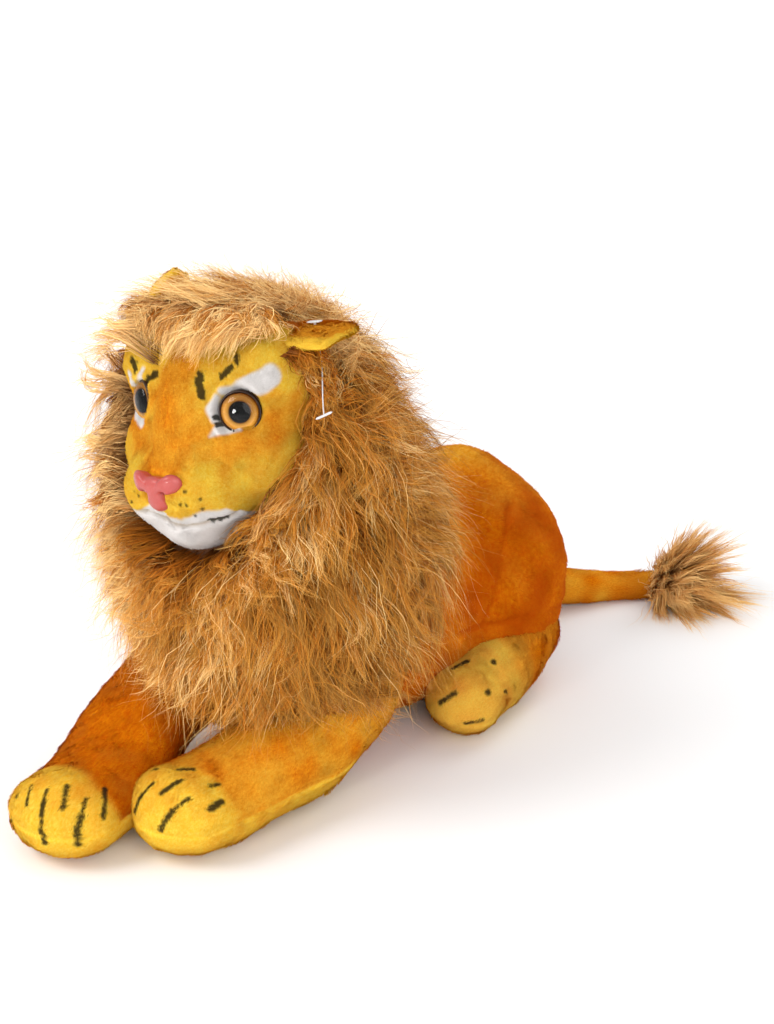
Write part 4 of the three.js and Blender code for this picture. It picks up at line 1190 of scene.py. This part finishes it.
def makeEar(name):
    shape = earShape
    turn, seat = earFrame(name)
    rows, count = 44, 60
    angle = math.tau * np.arange(count) / count
    points, local = [], []
    outline, blunt = shape["outline"][name], shape["blunt"][name]
    for k in range(rows):
        share = k / (rows - 1)
        wide = np.interp(share * (len(outline) - 1), range(len(outline)), outline) * shape["width"] / 2
        wide = max(wide * math.sqrt(max(1 - max(share - blunt, 0) / (1.005 - blunt), 0.0)), 0.05)
        if k == 0:
            wide *= 0.96
        thick = shape["thickness"] / 2 * (1 - 0.12 * share ** 3) * (0.25 if k in (0, rows - 1) else 1)
        thick *= math.sqrt(max(1 - share ** 22, 0.02))
        u = share * shape["length"][name] - shape["sunk"] * (k == 0)
        v = wide * np.cos(angle)
        if name == "left":
            # the back corner of the flopped ear is rounded away more than the front one
            v = np.where(v > 0, v * (1 - shape["corner"] * smoothStep(share, 0.3, 1)), v)
        h = thick * np.sign(np.sin(angle)) * np.abs(np.sin(angle)) ** 0.7
        sheet = -shape["cup"] * share * (v / (shape["width"] / 2)) ** 2
        points.append(np.stack([u + 0 * v, v, sheet + h], -1))
        local.append(np.stack([u + 0 * v, v / max(wide, 0.1), np.sin(angle)], -1))
    points, local = np.array(points).reshape(-1, 3), np.array(local).reshape(-1, 3)
    faces = tubeFaces(rows, count, True)
    root, tip = np.arange(count), np.arange(count) + (rows - 1) * count
    points = np.vstack([points, points[root].mean(0), points[tip].mean(0)])
    local = np.vstack([local, [0, 0, 0], [shape["length"][name], 0, 0]])
    first, last = len(points) - 2, len(points) - 1
    lids = [[first, i, (i + 1) % count] for i in range(count)]
    lids += [[last, tip[(i + 1) % count], tip[i]] for i in range(count)]
    triFaces = np.vstack([faces[:, [0, 1, 2]], faces[:, [0, 2, 3]], np.array(lids)])
    placed = toWorld(points @ turn.T + seat)
    normals = pointNormals(placed, triFaces)
    middle = placed.mean(0)
    if np.mean(np.sum(normals * (placed - middle), 1)) < 0:
        triFaces = triFaces[:, ::-1]
        normals = -normals
    facing = local[:, 2] if name == "left" else np.abs(local[:, 2])
    back = smoothStep(facing, 0.12, 0.5) * smoothStep(np.abs(local[:, 1]), 0.86, 0.72)
    back = back * smoothStep(local[:, 0], 36.5, 33)
    rust = back * (0.9 + 0.1 * wobble(points, 6, 3)) * shape["rust"][name]
    paint = paintOf(len(points), yellow=1 - rust, deep=0.25 * wobble(points, 4, 4) * rust * (name == "left"))
    u = 0.02 + 0.96 * np.clip((points[:, 0] + 2) / 42, 0, 1)
    v = np.where(local[:, 2] >= 0, 0.25, 0.75) + 0.23 * local[:, 1]
    skin = {"points": placed, "faces": triFaces, "normals": normals, "uv": np.stack([u, v], 1)}
    label = "ear" + name.capitalize()
    skinPiece(label + "Skin", skin, paint, "ear_" + name, "rust_plush",
              [f"ear_{name}_back", f"ear_{name}_lining"])
    way = toWorld(turn[:, 0]) - toWorld(np.zeros(3))
    look = dict(earPile, seed=earPile["seed"] + sideSign[name])
    pileOn(label + "Pile", skin, paint, look, way, "ear_" + name, "rust_plush")


makeEar("left")
makeEar("right")

fastenerShape = {
    "length": 44, "thread": 0.26, "paddle": (8, 4, 0.9), "bar": 9, "barWide": 0.55,
    "from": (14, 0, 4.4), "forward": 30, "outward": 20, "sides": 10,
}


def nylonClear():
    material, start = newMaterial("nylonClear")
    colour = noise(start, 500, 2).mix(seen(226, 228, 230), seen(240, 241, 242))
    finishMaterial(start, colour, 0.35, None, **{"Transmission Weight": 0.35, "IOR": 1.5})
    return material


def threadHang():
    shape = fastenerShape
    lean = np.array(Matrix.Rotation(math.radians(-shape["forward"]), 3, "X")
                    @ Matrix.Rotation(math.radians(-shape["outward"]), 3, "Y"))
    return np.array(shape["from"]), lean


def makeFastener():
    shape = fastenerShape
    turn, seat = earFrame("left")
    start, lean = threadHang()
    sides = shape["sides"]
    angle = math.tau * np.arange(sides) / sides
    rings, faces = [], []

    def addRings(added):
        faces.append(tubeFaces(len(added), sides) + len(rings) * sides)
        rings.extend(added)

    def addTube(line, radii):
        along = unit(np.gradient(line, axis=0))
        side = unit(np.cross(along, [0.3, 1, 0.2]))
        rise = np.cross(along, side)
        addRings([line[k] + radii[k] * (np.cos(angle)[:, None] * side[k] + np.sin(angle)[:, None] * rise[k])
                  for k in range(len(line))])

    def hung(points):
        return points @ lean.T + start

    slack = np.linspace(0, 1, 24)
    line = np.stack([0.9 * np.sin(slack * 5), 0.7 * np.sin(slack * 3.1), -slack * shape["length"]], 1)
    addTube(hung(line), [shape["thread"] + 0.5 * math.exp(-k / 1.5) for k in range(len(slack))])
    half = shape["bar"] / 2
    bar = np.linspace(-half, half, 12)
    sizes = [shape["barWide"] * math.sqrt(max(1 - (abs(b) / (half + 0.05)) ** 8, 0.05)) for b in bar]
    addTube(hung(line[-1] + np.stack([bar, 0 * bar, 0 * bar], 1)), sizes)
    wide, deep, high = shape["paddle"]
    across = np.linspace(-1, 1, 13)
    narrow = np.sqrt(np.maximum(1 - np.abs(across) ** 5, 0.02))
    addRings([start + np.stack([0 * angle + k * wide / 2, np.cos(angle) * deep / 2 * share,
                                np.sin(angle) * high / 2 * share], 1) for k, share in zip(across, narrow)])
    points = toWorld(np.concatenate(rings) @ turn.T + seat)
    piece = makeMesh("tagFastener", points, np.concatenate(faces), nylonClear())
    belongs(piece, "ear_left", "clear_nylon", "tag_fastener")


makeFastener()
print("ears ready")

# long hair

hairColours = {
    "root": seen(84, 42, 6), "low": seen(138, 76, 12), "middle": seen(184, 108, 22), "high": seen(212, 144, 50),
    "tip": seen(236, 184, 96), "dark": seen(88, 44, 6), "rust": seen(174, 84, 10), "pale": seen(255, 220, 152),
}


def hairMaterial():
    # along each hair from root to tip, darker at the root partly as painted shade deep in the mane and lighter at the
    # tip as the hair is, and from dark to light locks across the map, whose lightest tones carry painted light on the
    # top and the lion's right side
    material, start = newMaterial("maneHair")
    place = start.node("ShaderNodeUVMap", {"uv_map": "OFBake"})
    tone = start.node("ShaderNodeSeparateXYZ", None, {0: place})
    along = tone.part(1)
    c = hairColours
    ramp = start.node("ShaderNodeValToRGB", {"stops": [
        (0.0, c["root"]), (0.22, c["low"]), (0.52, c["middle"]), (0.82, c["high"]), (1.0, c["tip"])]}, {"Fac": along})
    dark = tone.steep(0.45, 0.05) * 0.62
    rusty = (tone.steep(0.35, 0.5) * (1 - tone.steep(0.5, 0.66))) * 0.4
    light = tone.steep(0.58, 0.95) * 0.85 * along.steep(0.0, 0.5)
    colour = dark.mix(ramp, c["dark"])
    colour = rusty.mix(colour, c["rust"])
    colour = light.mix(colour, c["pale"])
    finishMaterial(start, colour, 0.6, None, **{"Specular IOR Level": 0.12})
    return material


def backingMaterial():
    material, start = newMaterial("maneBacking")
    streak = noise(start, 160, 4, rough=0.7).steep(0.3, 0.7)
    # dark brown, as painted shade deep in the mane
    colour = streak.mix(seen(70, 38, 16), seen(128, 76, 36))
    finishMaterial(start, colour, 0.95, bumpOf(start, noise(start, 700, 3), 0.0008))
    return material


hairBrown, backingBrown = hairMaterial(), backingMaterial()
hairRoom = (-99, -240, -60), (134, 249.5, 262.5)
ribbonForm = {"roll": 0.45, "root": 0.75, "grow": 0.5, "taper": 2.2, "least": 0.06, "mapHalf": 0.006, "floor": 0.2}
lockForm = {
    "turns": (0.7, 1.5), "sway": (0.4, 1.2), "ripple": 0.25, "speed": (1.5, 3.4), "widths": (0.6, 1.25),
    "closing": (0.1, 0.95),
}


def ribbons(name, paths, outward, tones, widths, random, body, slot, nodes=()):
    # flat hairs: each is a strip that faces out and narrows to its tip
    form = ribbonForm
    low, high = hairRoom
    free = ((paths > low) & (paths < high)).all(axis=(1, 2))
    paths, outward, tones, widths = paths[free], outward[free], tones[free], widths[free]
    count, steps = paths.shape[:2]
    tangent = unit(np.gradient(paths, axis=1))
    side = unit(np.cross(tangent, outward[:, None, :]))
    face = np.cross(tangent, side)
    roll = random.normal(size=(count, 1, 1)) * form["roll"]
    side = side * np.cos(roll) + face * np.sin(roll)
    share = np.linspace(0, 1, steps)
    shape = np.clip((form["root"] + form["grow"] * share) * (1 - share ** form["taper"]), form["least"], 1)
    half = side * (widths[:, None] * shape[None, :] / 2)[..., None]
    points = np.stack([paths - half, paths + half], 2).reshape(-1, 3)
    above(points, form["floor"])
    start = (np.arange(count)[:, None] * steps + np.arange(steps - 1)[None]) * 2
    faces = np.stack([start, start + 1, start + 3, start + 2], -1).reshape(-1, 4)
    across = form["mapHalf"] * np.array([-1, 1]) + np.zeros((1, steps, 1))
    u = np.clip(tones, 0.02, 0.98)[:, None, None] + across
    v = np.broadcast_to(mapPlace(share)[:, None], u.shape)
    uv = np.stack([u, v], -1).reshape(-1, 2)
    belongs(makeMesh(name, points, faces, hairBrown, None, uv), body, slot, *nodes)
    print("  ", name, len(faces) * 2, "triangles")


def growLocks(roots, bends, tips, outward, tones, look, random):
    # every lock is a bunch of hairs that starts wide, waves and closes to a point
    form = lockForm
    locks, hairs, steps = len(roots), look["hairs"], look["steps"]
    share = np.linspace(0, 1, steps)
    t = share * random.uniform(look["shortest"], 1.0, (locks, hairs, 1))
    way = t[..., None]
    a, b, c = (x[:, None, None, :] for x in (roots, bends, tips))
    path = (1 - way) ** 2 * a + 2 * way * (1 - way) * b + way ** 2 * c
    side = unit(np.cross(unit(tips - roots), outward))[:, None, None, :]
    out = outward[:, None, None, :]

    def each(low, high, count=hairs):
        # a number for every lock, or for every hair in it
        return random.uniform(low, high, (locks, count, 1))

    def moved(path, direction, amount):
        return path + direction * amount[..., None]

    phase, turns = each(0, math.tau, 1), each(*form["turns"], 1)
    sway = look["wave"] * each(*form["sway"], 1) * t ** 0.8
    wave = np.sin(phase + t * turns * math.tau) - np.sin(phase)
    lift = np.cos(phase * 1.7 + t * turns * math.tau) - np.cos(phase * 1.7)
    path = moved(moved(path, side, sway * wave), out, 0.5 * sway * lift)
    angle = each(0, math.tau)
    radius = look["spread"] * np.sqrt(random.random((locks, hairs, 1)))
    close = 1 - look["clump"] * smoothStep(t, *form["closing"])
    wild = (random.random((locks, hairs, 1)) < look["wild"]) * 1.0
    close = close * (1 - wild) + (1 + 1.1 * t) * wild
    path = moved(moved(path, side, np.cos(angle) * radius * close), out, 0.6 * np.sin(angle) * radius * close)
    path = moved(path, out, wild * each(0, look["flyOut"]) * t ** 2)
    ripple = each(form["ripple"], look["frizz"]) * t ** 0.7
    speed = each(*form["speed"]) * math.tau
    for direction in (side, out):
        start = each(0, math.tau)
        path = moved(path, direction, ripple * (np.sin(start + t * speed) - np.sin(start)))
    path[..., 2] -= look["droop"] * t ** 2
    tone = tones[:, None] + random.normal(size=(locks, hairs)) * look["toneSpread"]
    width = look["width"] * random.uniform(*form["widths"], locks * hairs)
    return path.reshape(-1, steps, 3), np.repeat(outward, hairs, axis=0), tone.ravel(), width


# tail and tuft

tailShape = {
    "length": 112, "rise": 22.5, "rest": 7.75, "widths": [25, 16.5],
    "path": [[0, 0], [0.1, 0.28], [0.27, 0.55], [0.53, 0.78]], "inset": 1.0,
}
tailPile = dict(legPile, seed=71, length=2.2, most=26000)
tuftLook = {
    "seed": 81, "locks": 240, "hairs": 26, "steps": 9, "shortest": 0.6, "wave": 3.4, "spread": 4.6, "clump": 0.66,
    "wild": 0.2, "flyOut": 9, "frizz": 1.5, "droop": 2.0, "width": 0.5, "toneSpread": 0.1,
    "length": (34, 64), "opening": 72, "axis": (1.0, -0.12, 0.16),
}


def makeTail():
    shape = tailShape
    root = skinPoint(torsoForm, (0, 0, shape["rise"]), (0, 1, 0), shape["widths"][0] / 2 - 2)
    spine = [[root[0] + x * shape["length"], root[1] + y * shape["length"],
              shape["rise"] + (shape["rest"] - shape["rise"]) * min(2 * y, 1)] for x, y in shape["path"]]
    skin = limbSkin(spine, shape["widths"], shape["widths"], rings=80, sides=56, caps=8, level=-shape["inset"])
    points, line = skin["points"], skin["line"]
    above(points, bodyShape["floorRoom"])
    paint = paintOf(len(points), yellow=0.25 + 0.2 * wobble(points, 15, 72), deep=0.22 + 0.2 * wobble(points, 22, 73))
    skinPiece("tailSkin", skin, paint, "tail", "rust_plush", ["tail_cover", "tail_filling"])
    pileOn("tailPile", skin, paint, tailPile, unit(line[-1] - line[0]), "tail", "rust_plush",
           lambda at: (at[:, 2] > 0.8) * (np.linalg.norm(at - line[0], axis=1) > 16))
    makeTuft(line[-1])


def makeTuft(end):
    look = tuftLook
    random = np.random.default_rng(look["seed"])
    count = look["locks"]
    axis = unit(np.array(look["axis"]))
    angle = random.uniform(0, math.tau, count)
    tilt = np.radians(look["opening"]) * np.sqrt(random.random(count))
    across = unit(np.cross(axis, [0, 0, 1]))
    rise = np.cross(across, axis)
    way = (axis * np.cos(tilt)[:, None] + (across * np.cos(angle)[:, None] + rise * np.sin(angle)[:, None])
           * np.sin(tilt)[:, None])
    start = end - axis * 7 + way * 7.5
    length = random.uniform(*look["length"], count) * (1 - 0.42 * (tilt / math.radians(look["opening"])) ** 1.5)
    tips = start + way * length[:, None] + axis * (0.16 * length * np.sin(tilt))[:, None]
    bends = start + way * (0.5 * length)[:, None] + np.array([0, 0, 2.0])
    for spot in (start, bends, tips):
        above(spot, 1.5)
    outward = unit(way + np.array([0, 0, 0.35]) - axis * 0.4)
    tones = random.uniform(0.76, 0.95, count)
    grown = growLocks(start, bends, tips, outward, tones, look, random)
    above(grown[0], 0.4)
    ribbons("tailTuft", *grown, random, "tail", "mane_pile", ["tail_tuft"])


makeTail()
print("tail ready")

# mane

maneShape = {
    "at": (0, -86, 131), "width": 156, "depth": 140, "height": 226,
    "lumps": [((-0.04, 0.02, 0.21), (0.99, 0.86, 0.56)), ((0, 0, -0.04), (1, 0.98, 0.84)),
              ((0, 0.24, -0.08), (0.94, 1.02, 0.62))],
    "blend": 0.12, "ring": 43.2, "flare": 0.741, "squeeze": 0.861, "pitch": -14, "drop": (0, -8.4, -14.1),
}
maneZones = {
    # where the hair flows in its own way
    "front": {"y": (-92, -126)},
    "back": {"y": (-110, -50)},
    "chest": {"y": (-84, -118), "z": (168, 118), "x": (34, 4)},
    "crown": {"z": (204, 222)},
    # fuller at the upper right side and over the brow, and longer where it hangs beside the belly
    "full": {"x": (-20, -52), "z": (160, 196), "y": (-60, -90)},
    "brow": {"x": (25, -10), "z": (200, 226), "y": (-96, -112)},
    "hang": {"side": (26, 52), "y": (-86, -62), "z": (104, 60)},
    # painted light: the hair is paler on the top and at the lion's right side
    "top": {"z": (186, 220)},
    "right": {"x": (-18, -56), "y": (-66, -104)},
}
maneLook = {
    "seed": 101, "locks": 1500, "hairs": 42, "steps": 10, "shortest": 0.58, "wave": 6.5, "spread": 5.6,
    "clump": 0.86, "wild": 0.16, "flyOut": 9, "frizz": 1.8, "droop": 2.0, "width": 0.46, "toneSpread": 0.08,
    "length": (34, 66), "depth": 22, "ways": (156, 150, 226), "cell": 7.5, "perCell": 2,
    "least": 0.18, "uneven": 3.2, "full": 10, "brow": 9, "hang": (0, 14, -26), "legRoom": 2.5,
    "tone": 0.34, "patchy": 0.2, "toneLoose": 0.19, "crownFrom": 205, "backFrom": -58, "bibTo": 118,
}
foreLook = dict(maneLook, seed=131, locks=150, hairs=44, spread=4.6, droop=1.0, wave=3.6, clump=0.66, flyOut=5)
jawLook = dict(maneLook, seed=171, locks=150, hairs=44, spread=4.4, droop=1.0, wave=3.0, clump=0.7, flyOut=5)
fluffLook = dict(maneLook, seed=151, locks=1500, hairs=6, spread=8.0, wave=7.0, clump=0.1, wild=0.5, flyOut=7,
                 frizz=2.6, width=0.3)


def manePlace(x, y, z):
    return np.array([x * maneShape["width"], y * maneShape["depth"], z * maneShape["height"]])


maneForm = {
    "core": np.array(maneShape["at"]) + manePlace(0, 0.02, 0),
    "lumps": [(np.array(maneShape["at"]) + manePlace(*at), manePlace(*size)) for at, size in maneShape["lumps"]],
    "blend": maneShape["blend"] * maneShape["height"],
}


def faceOpening(points):
    # above 0 inside the open cone in front of the face
    local = toHead(points) - np.array(maneShape["drop"])
    a = math.radians(-maneShape["pitch"])
    y = local[..., 1] * math.cos(a) - local[..., 2] * math.sin(a)
    z = local[..., 1] * math.sin(a) + local[..., 2] * math.cos(a)
    wide = maneShape["ring"] - maneShape["flare"] * y
    return np.where(y < 6, wide - np.hypot(local[..., 0], z / maneShape["squeeze"]), -50)


def headLevel(points):
    return formLevel(headForm, toHead(points))


def legLevel(points, name):
    # about the distance to a front sleeve
    line = catmull(softSpine(name), 40)
    best = np.full(len(points), 1e9)

    def half(sizes):
        return np.interp(np.linspace(0, len(sizes) - 1, len(line)), range(len(sizes)), sizes) / 2

    for centre, wide, high in zip(line, half(legShape["frontWidths"]), half(legShape["frontHeights"])):
        away = np.linalg.norm((points - centre) / [wide, wide, high], axis=1)
        best = np.minimum(best, (away - 1) * min(wide, high))
    return best


def maneFlow(at, outward, random):
    # swept over the crown and the chest to the lion's right, straight down at its left, back over the flank
    away = unit(at - np.array([0, -80, 268]))
    radial = at - np.array([0, 0, 184.0])
    radial[:, 1] = 0
    radial = unit(radial)
    radial[:, 2] = np.minimum(radial[:, 2], 0.15)
    front, back, chest, crown = (zone(at, **maneZones[name])[:, None] for name in ("front", "back", "chest", "crown"))
    swirl, tangle = wobbles(at, 52, 111) * 0.5, wobbles(at, 16, 116) * 0.4
    flow = (away * 0.65 + np.array([0, 0, -0.62]) + radial * front * 0.75 + back * np.array([0, 0.5, 0])
            + chest * np.array([-1.15, 0, 0.1]) + crown * np.array([-0.8, -0.4, 0]) + swirl + tangle)
    flow = unit(flow - outward * np.sum(flow * outward, 1, keepdims=True))
    turn = random.normal(size=(len(at), 1)) * 0.34
    return flow * np.cos(turn) + np.cross(outward, flow) * np.sin(turn)


# how far the open face reaches at each height, and the part of it that the hairs keep free
cheekRoom = {
    "rise": [-36, -25, -10, -2, 6, 20, 34], "edge": [16.5, 12.5, 5.5, 3.5, 0.5, -2.5, 5.5],
    "near": 30, "under": 24, "right": -22, "rightNear": 14, "ahead": -24, "between": (-10, 27),
}
# where the ears fold to, and the room that they and the thread need
earRoom = {
    "turned": {"left": 75, "right": -80}, "reach": (1, 40), "half": 19, "rise": (-8, 4.6),
    "partFrom": -6, "partTo": 4.7, "thread": 1.6, "threadAhead": (0.68, -0.73, 0),
}


def offFace(paths):
    # leaves out the hairs that would lie across the cheek
    room = cheekRoom
    spots = paths[:, ::2].reshape(-1, 3)
    side, ahead, rise = toHead(spots).T
    away = headLevel(spots)
    across = (faceOpening(spots) > np.interp(rise, room["rise"], room["edge"])) & (away < room["near"])
    across &= (rise < room["under"]) & (side > room["right"])
    low, high = room["between"]
    across |= ((away < room["rightNear"]) & (side <= room["right"]) & (ahead < room["ahead"])
               & (rise < high) & (rise > low))
    return ~across.reshape(len(paths), -1).any(axis=1)


def clearOfEars(paths):
    # leaves the ears room where they fold to, and the thread free on top of the hair
    room = earRoom
    spots = toHead(paths.reshape(-1, 3))
    blocked = np.zeros(len(spots), bool)
    for name, turned in room["turned"].items():
        _, seat = earFrame(name)
        side, lift = sideSign[name], math.radians(earShape["rest"][name] + turned)
        here = spots - seat
        rising = np.array([-side * math.sin(lift), 0, math.cos(lift)])
        out, rise = here @ [side * math.cos(lift), 0, math.sin(lift)], here @ rising
        inside = (out > room["reach"][0]) & (out < room["reach"][1]) & (np.abs(here[:, 1]) < room["half"])
        inside &= (rise > room["rise"][0]) & (rise < room["rise"][1])
        if name == "left":
            # the hair over the brow is parted by the lifted ear
            beside = inside & (rise > room["partFrom"])
            spots[beside] += rising * (room["partTo"] - rise[beside])[:, None]
            inside &= ~beside
        blocked |= inside
    paths[:] = toWorld(spots).reshape(paths.shape)
    turn, seat = earFrame("left")
    start, lean = threadHang()
    axis = unit((lean @ [0, 0, -1.0]) @ turn.T)
    ahead = unit(np.array(room["threadAhead"]))
    here = spots - (start @ turn.T + seat)
    down = here @ axis
    off = here - down[:, None] * axis
    front = off @ ahead
    beside = np.linalg.norm(off - front[:, None] * ahead, axis=1)
    blocked |= (down > 2) & (down < fastenerShape["length"] + 2) & (beside < room["thread"]) & (front > -1)
    return ~blocked.reshape(len(paths), -1).any(axis=1)


def growMane(name, grown, allowed, random, nodes=()):
    # the hairs of one part of the mane, without those that lie across the face, an ear or the thread
    free = allowed(grown[0]) & clearOfEars(grown[0])
    ribbons(name, *(values[free] for values in grown), random, "lion", "mane_pile", nodes)


def spreadTips(look, random):
    # the ends of the locks, evenly over the mane
    ways = unit(unit(random.normal(size=(look["locks"] * 3, 3))) * np.array(look["ways"]))
    tips = maneForm["core"] + ways * reachFrom(maneForm, maneForm["core"], ways)[:, None]
    tips = tips[(faceOpening(tips) < 0) & (formLevel(torsoForm, tips) > 1) & (tips[:, 2] > 20)]
    chosen, cells = [], {}
    for k in random.permutation(len(tips)):
        key = tuple((tips[k] // look["cell"]).astype(int))
        if cells.get(key, 0) < look["perCell"]:
            cells[key] = cells.get(key, 0) + 1
            chosen.append(k)
    return tips[chosen[:look["locks"]]]


def makeMane():
    look = maneLook
    random = np.random.default_rng(look["seed"])
    tips = spreadTips(look, random)
    outward = slopeOf(maneForm, tips)
    flow = maneFlow(tips, outward, random)
    length = random.uniform(*look["length"], len(tips))
    # each lock is as long as the face leaves room for
    best = np.full(len(tips), look["least"])
    for s in np.linspace(look["least"], 1, 12):
        start = tips - flow * (length * s)[:, None]
        best = np.where(faceOpening(toLevel(maneForm, start, -8, 1)) < 1, s, best)
    start = tips - flow * (length * best)[:, None]
    roots = toLevel(maneForm, start, -look["depth"])
    bends = toLevel(maneForm, start + flow * (length * best * 0.3)[:, None], -1.5)
    inside = headLevel(roots) < 1
    roots[inside] = toWorld(toLevel(headForm, toHead(roots[inside]), 0.5))
    inside = formLevel(torsoForm, roots) < 1
    roots[inside] = toLevel(torsoForm, roots[inside], 0.5)
    full, brow, hang = (zone(tips, **maneZones[name]) for name in ("full", "brow", "hang"))
    more = (look["full"] * full + look["brow"] * brow)[:, None]
    tips = tips + outward * (random.normal(size=(len(tips), 1)) * look["uneven"] + more)
    bends = bends + outward * 0.8 * more
    tips = tips + np.outer(hang, look["hang"])
    above(tips, 6)
    for name in ("left", "right"):
        push = np.maximum(look["legRoom"] - legLevel(tips, name), 0)
        tips[:, 2] += push * 0.9
        tips[:, 1] -= push * 0.3
    # painted light: paler tones on the top and at the lion's right side of the mane
    paintedLightTone = np.minimum(0.4 * zone(tips, **maneZones["top"]) + 0.56 * zone(tips, **maneZones["right"]), 0.64)
    tones = look["tone"] + paintedLightTone + look["patchy"] * wobble(tips, 26, 114)
    tones = np.clip(tones + random.normal(size=len(tips)) * look["toneLoose"], 0.03, 0.97)
    groups = {
        "Crown": tips[:, 2] > look["crownFrom"],
        "Back": tips[:, 1] > look["backFrom"],
        "Bib": tips[:, 2] < look["bibTo"],
        "Left": tips[:, 0] > 0,
        "Right": tips[:, 0] <= 0,
    }
    taken = np.zeros(len(tips), bool)
    for label, mask in groups.items():
        mask = mask & ~taken
        taken |= mask
        random = np.random.default_rng(look["seed"] + len(label))
        locks = (values[mask] for values in (roots, bends, tips, outward, tones))
        growMane("mane" + label, growLocks(*locks, look, random), offFace, random, ["mane_" + label.lower()])
    look = fluffLook
    some = random.choice(len(tips), look["locks"])
    loose = unit(random.normal(size=(len(some), 3)))
    out = outward[some]

    def shift(low, high):
        return random.uniform(low, high, (len(some), 1))

    ends = tips[some] + out * shift(2, 13) + loose * shift(3, 12)
    above(ends, 8)
    pale = np.clip(tones[some] + 0.15, 0, 0.97)
    grown = growLocks(roots[some], bends[some] + out * shift(0, 6), ends, out, pale, look, random)
    growMane("maneFluff", grown, offFace, random)


def makeBacking():
    # the cloth under the hair, painted dark brown as painted shade in the depth of the mane
    scalp = starSkin(maneForm, 6, -maneLook["depth"] - 1)
    points = scalp["points"]
    opened = faceOpening(points) > -3
    points[opened] = toWorld(toLevel(headForm, toHead(points[opened]), -3))
    belongs(makeMesh("maneBacking", points, scalp["faces"], backingBrown), "lion", "mane_pile")


def skinMany(ways, level):
    # the places where rays from the middle of the head leave it, at a height over the skin
    return ways * reachFrom(headForm, 0, ways, level, 90.0, 60)[:, None]


def growOnHead(name, roots, bends, tips, outward, tones, look, allowed, random):
    grown = growLocks(toWorld(roots), toWorld(bends), toWorld(tips), outward @ headTurn.T, tones, look, random)
    growMane(name, grown, allowed, random)


# the fringe ends at this line over the eyes, given from the lion's right to its left
foreEdge = {
    "side": [-44, -31, -9, 5, 14, 27, 40], "rise": [28.5, 29.5, 24.5, 25.5, 28, 30, 31],
    "ahead": [-19, -25, -34, -34, -29, -24, -18],
    "freeSide": [-50, -44, -31, -9, 5, 14, 27, 40], "free": [18.5, 22.5, 23.5, 19, 20, 23, 24.5, 24.5],
}


def makeForelock():
    # the fringe: swept across the brow, down to the edge that leaves the marks on the forehead free
    look, line = foreLook, foreEdge
    random = np.random.default_rng(look["seed"])
    count = look["locks"]
    startSide = random.uniform(-36, 40, count)
    ways = unit(np.stack([startSide, random.uniform(-16, 6, count), np.full(count, 40.0)], 1))
    roots = skinMany(ways, 0.5)
    endSide = np.clip(startSide * 0.92 + random.uniform(-26, 14, count), -44, 40)
    rise = np.interp(endSide, line["side"], line["rise"]) + random.uniform(0, 9, count)
    aim = unit(np.stack([endSide, np.interp(endSide, line["side"], line["ahead"]), rise], 1))
    tips = skinMany(aim, random.uniform(1.5, 5.5, count))
    middle = unit((roots + tips) / 2 + np.array([0, -4, 8]))
    bends = skinMany(middle, random.uniform(9, 19, count))
    tones = np.clip(0.76 + random.normal(size=count) * 0.2, 0.05, 0.97)

    def allowed(paths):
        side, ahead, rise = np.moveaxis(toHead(paths.reshape(-1, 3)).reshape(paths.shape), -1, 0)
        return ~((rise < np.interp(side, line["freeSide"], line["free"])) & (ahead < -6)).any(axis=1)

    growOnHead("maneForelock", roots, bends, tips, unit(tips * 0.5 + bends * 0.5), tones, look, allowed, random)


def makeJawLocks():
    # hair that lies along the edge of the cheek and under the chin
    look = jawLook
    random = np.random.default_rng(look["seed"])
    edge = catmull(faceMarks["edge"], 90)
    count = look["locks"]
    first = random.integers(0, 66, count)
    last = np.minimum(first + random.integers(12, 24, count), len(edge) - 1)
    away = unit(edge * [1, 1, 0.9] - np.array([0, -62, -8]))

    def near(place, low, high, level):
        inward = 7 * smoothStep(place, 44, 62)[:, None]
        spot = edge[place] + away[place] * (random.uniform(low, high, (count, 1)) - inward)
        return skinMany(unit(spot), level)

    roots = near(first, 6, 22, 0.5)
    tips = near(last, 1, 16, random.uniform(2, 7, count))
    bends = near((first + last) // 2, 3, 20, random.uniform(3, 7, count) + 7 * smoothStep(first, 24, 50))
    tones = np.clip(0.42 + random.normal(size=count) * 0.2, 0.05, 0.95)
    growOnHead("maneJaw", roots, bends, tips, unit(bends), tones, look, lambda paths: True, random)


makeMane()
makeBacking()
makeForelock()
makeJawLocks()
print("mane ready")
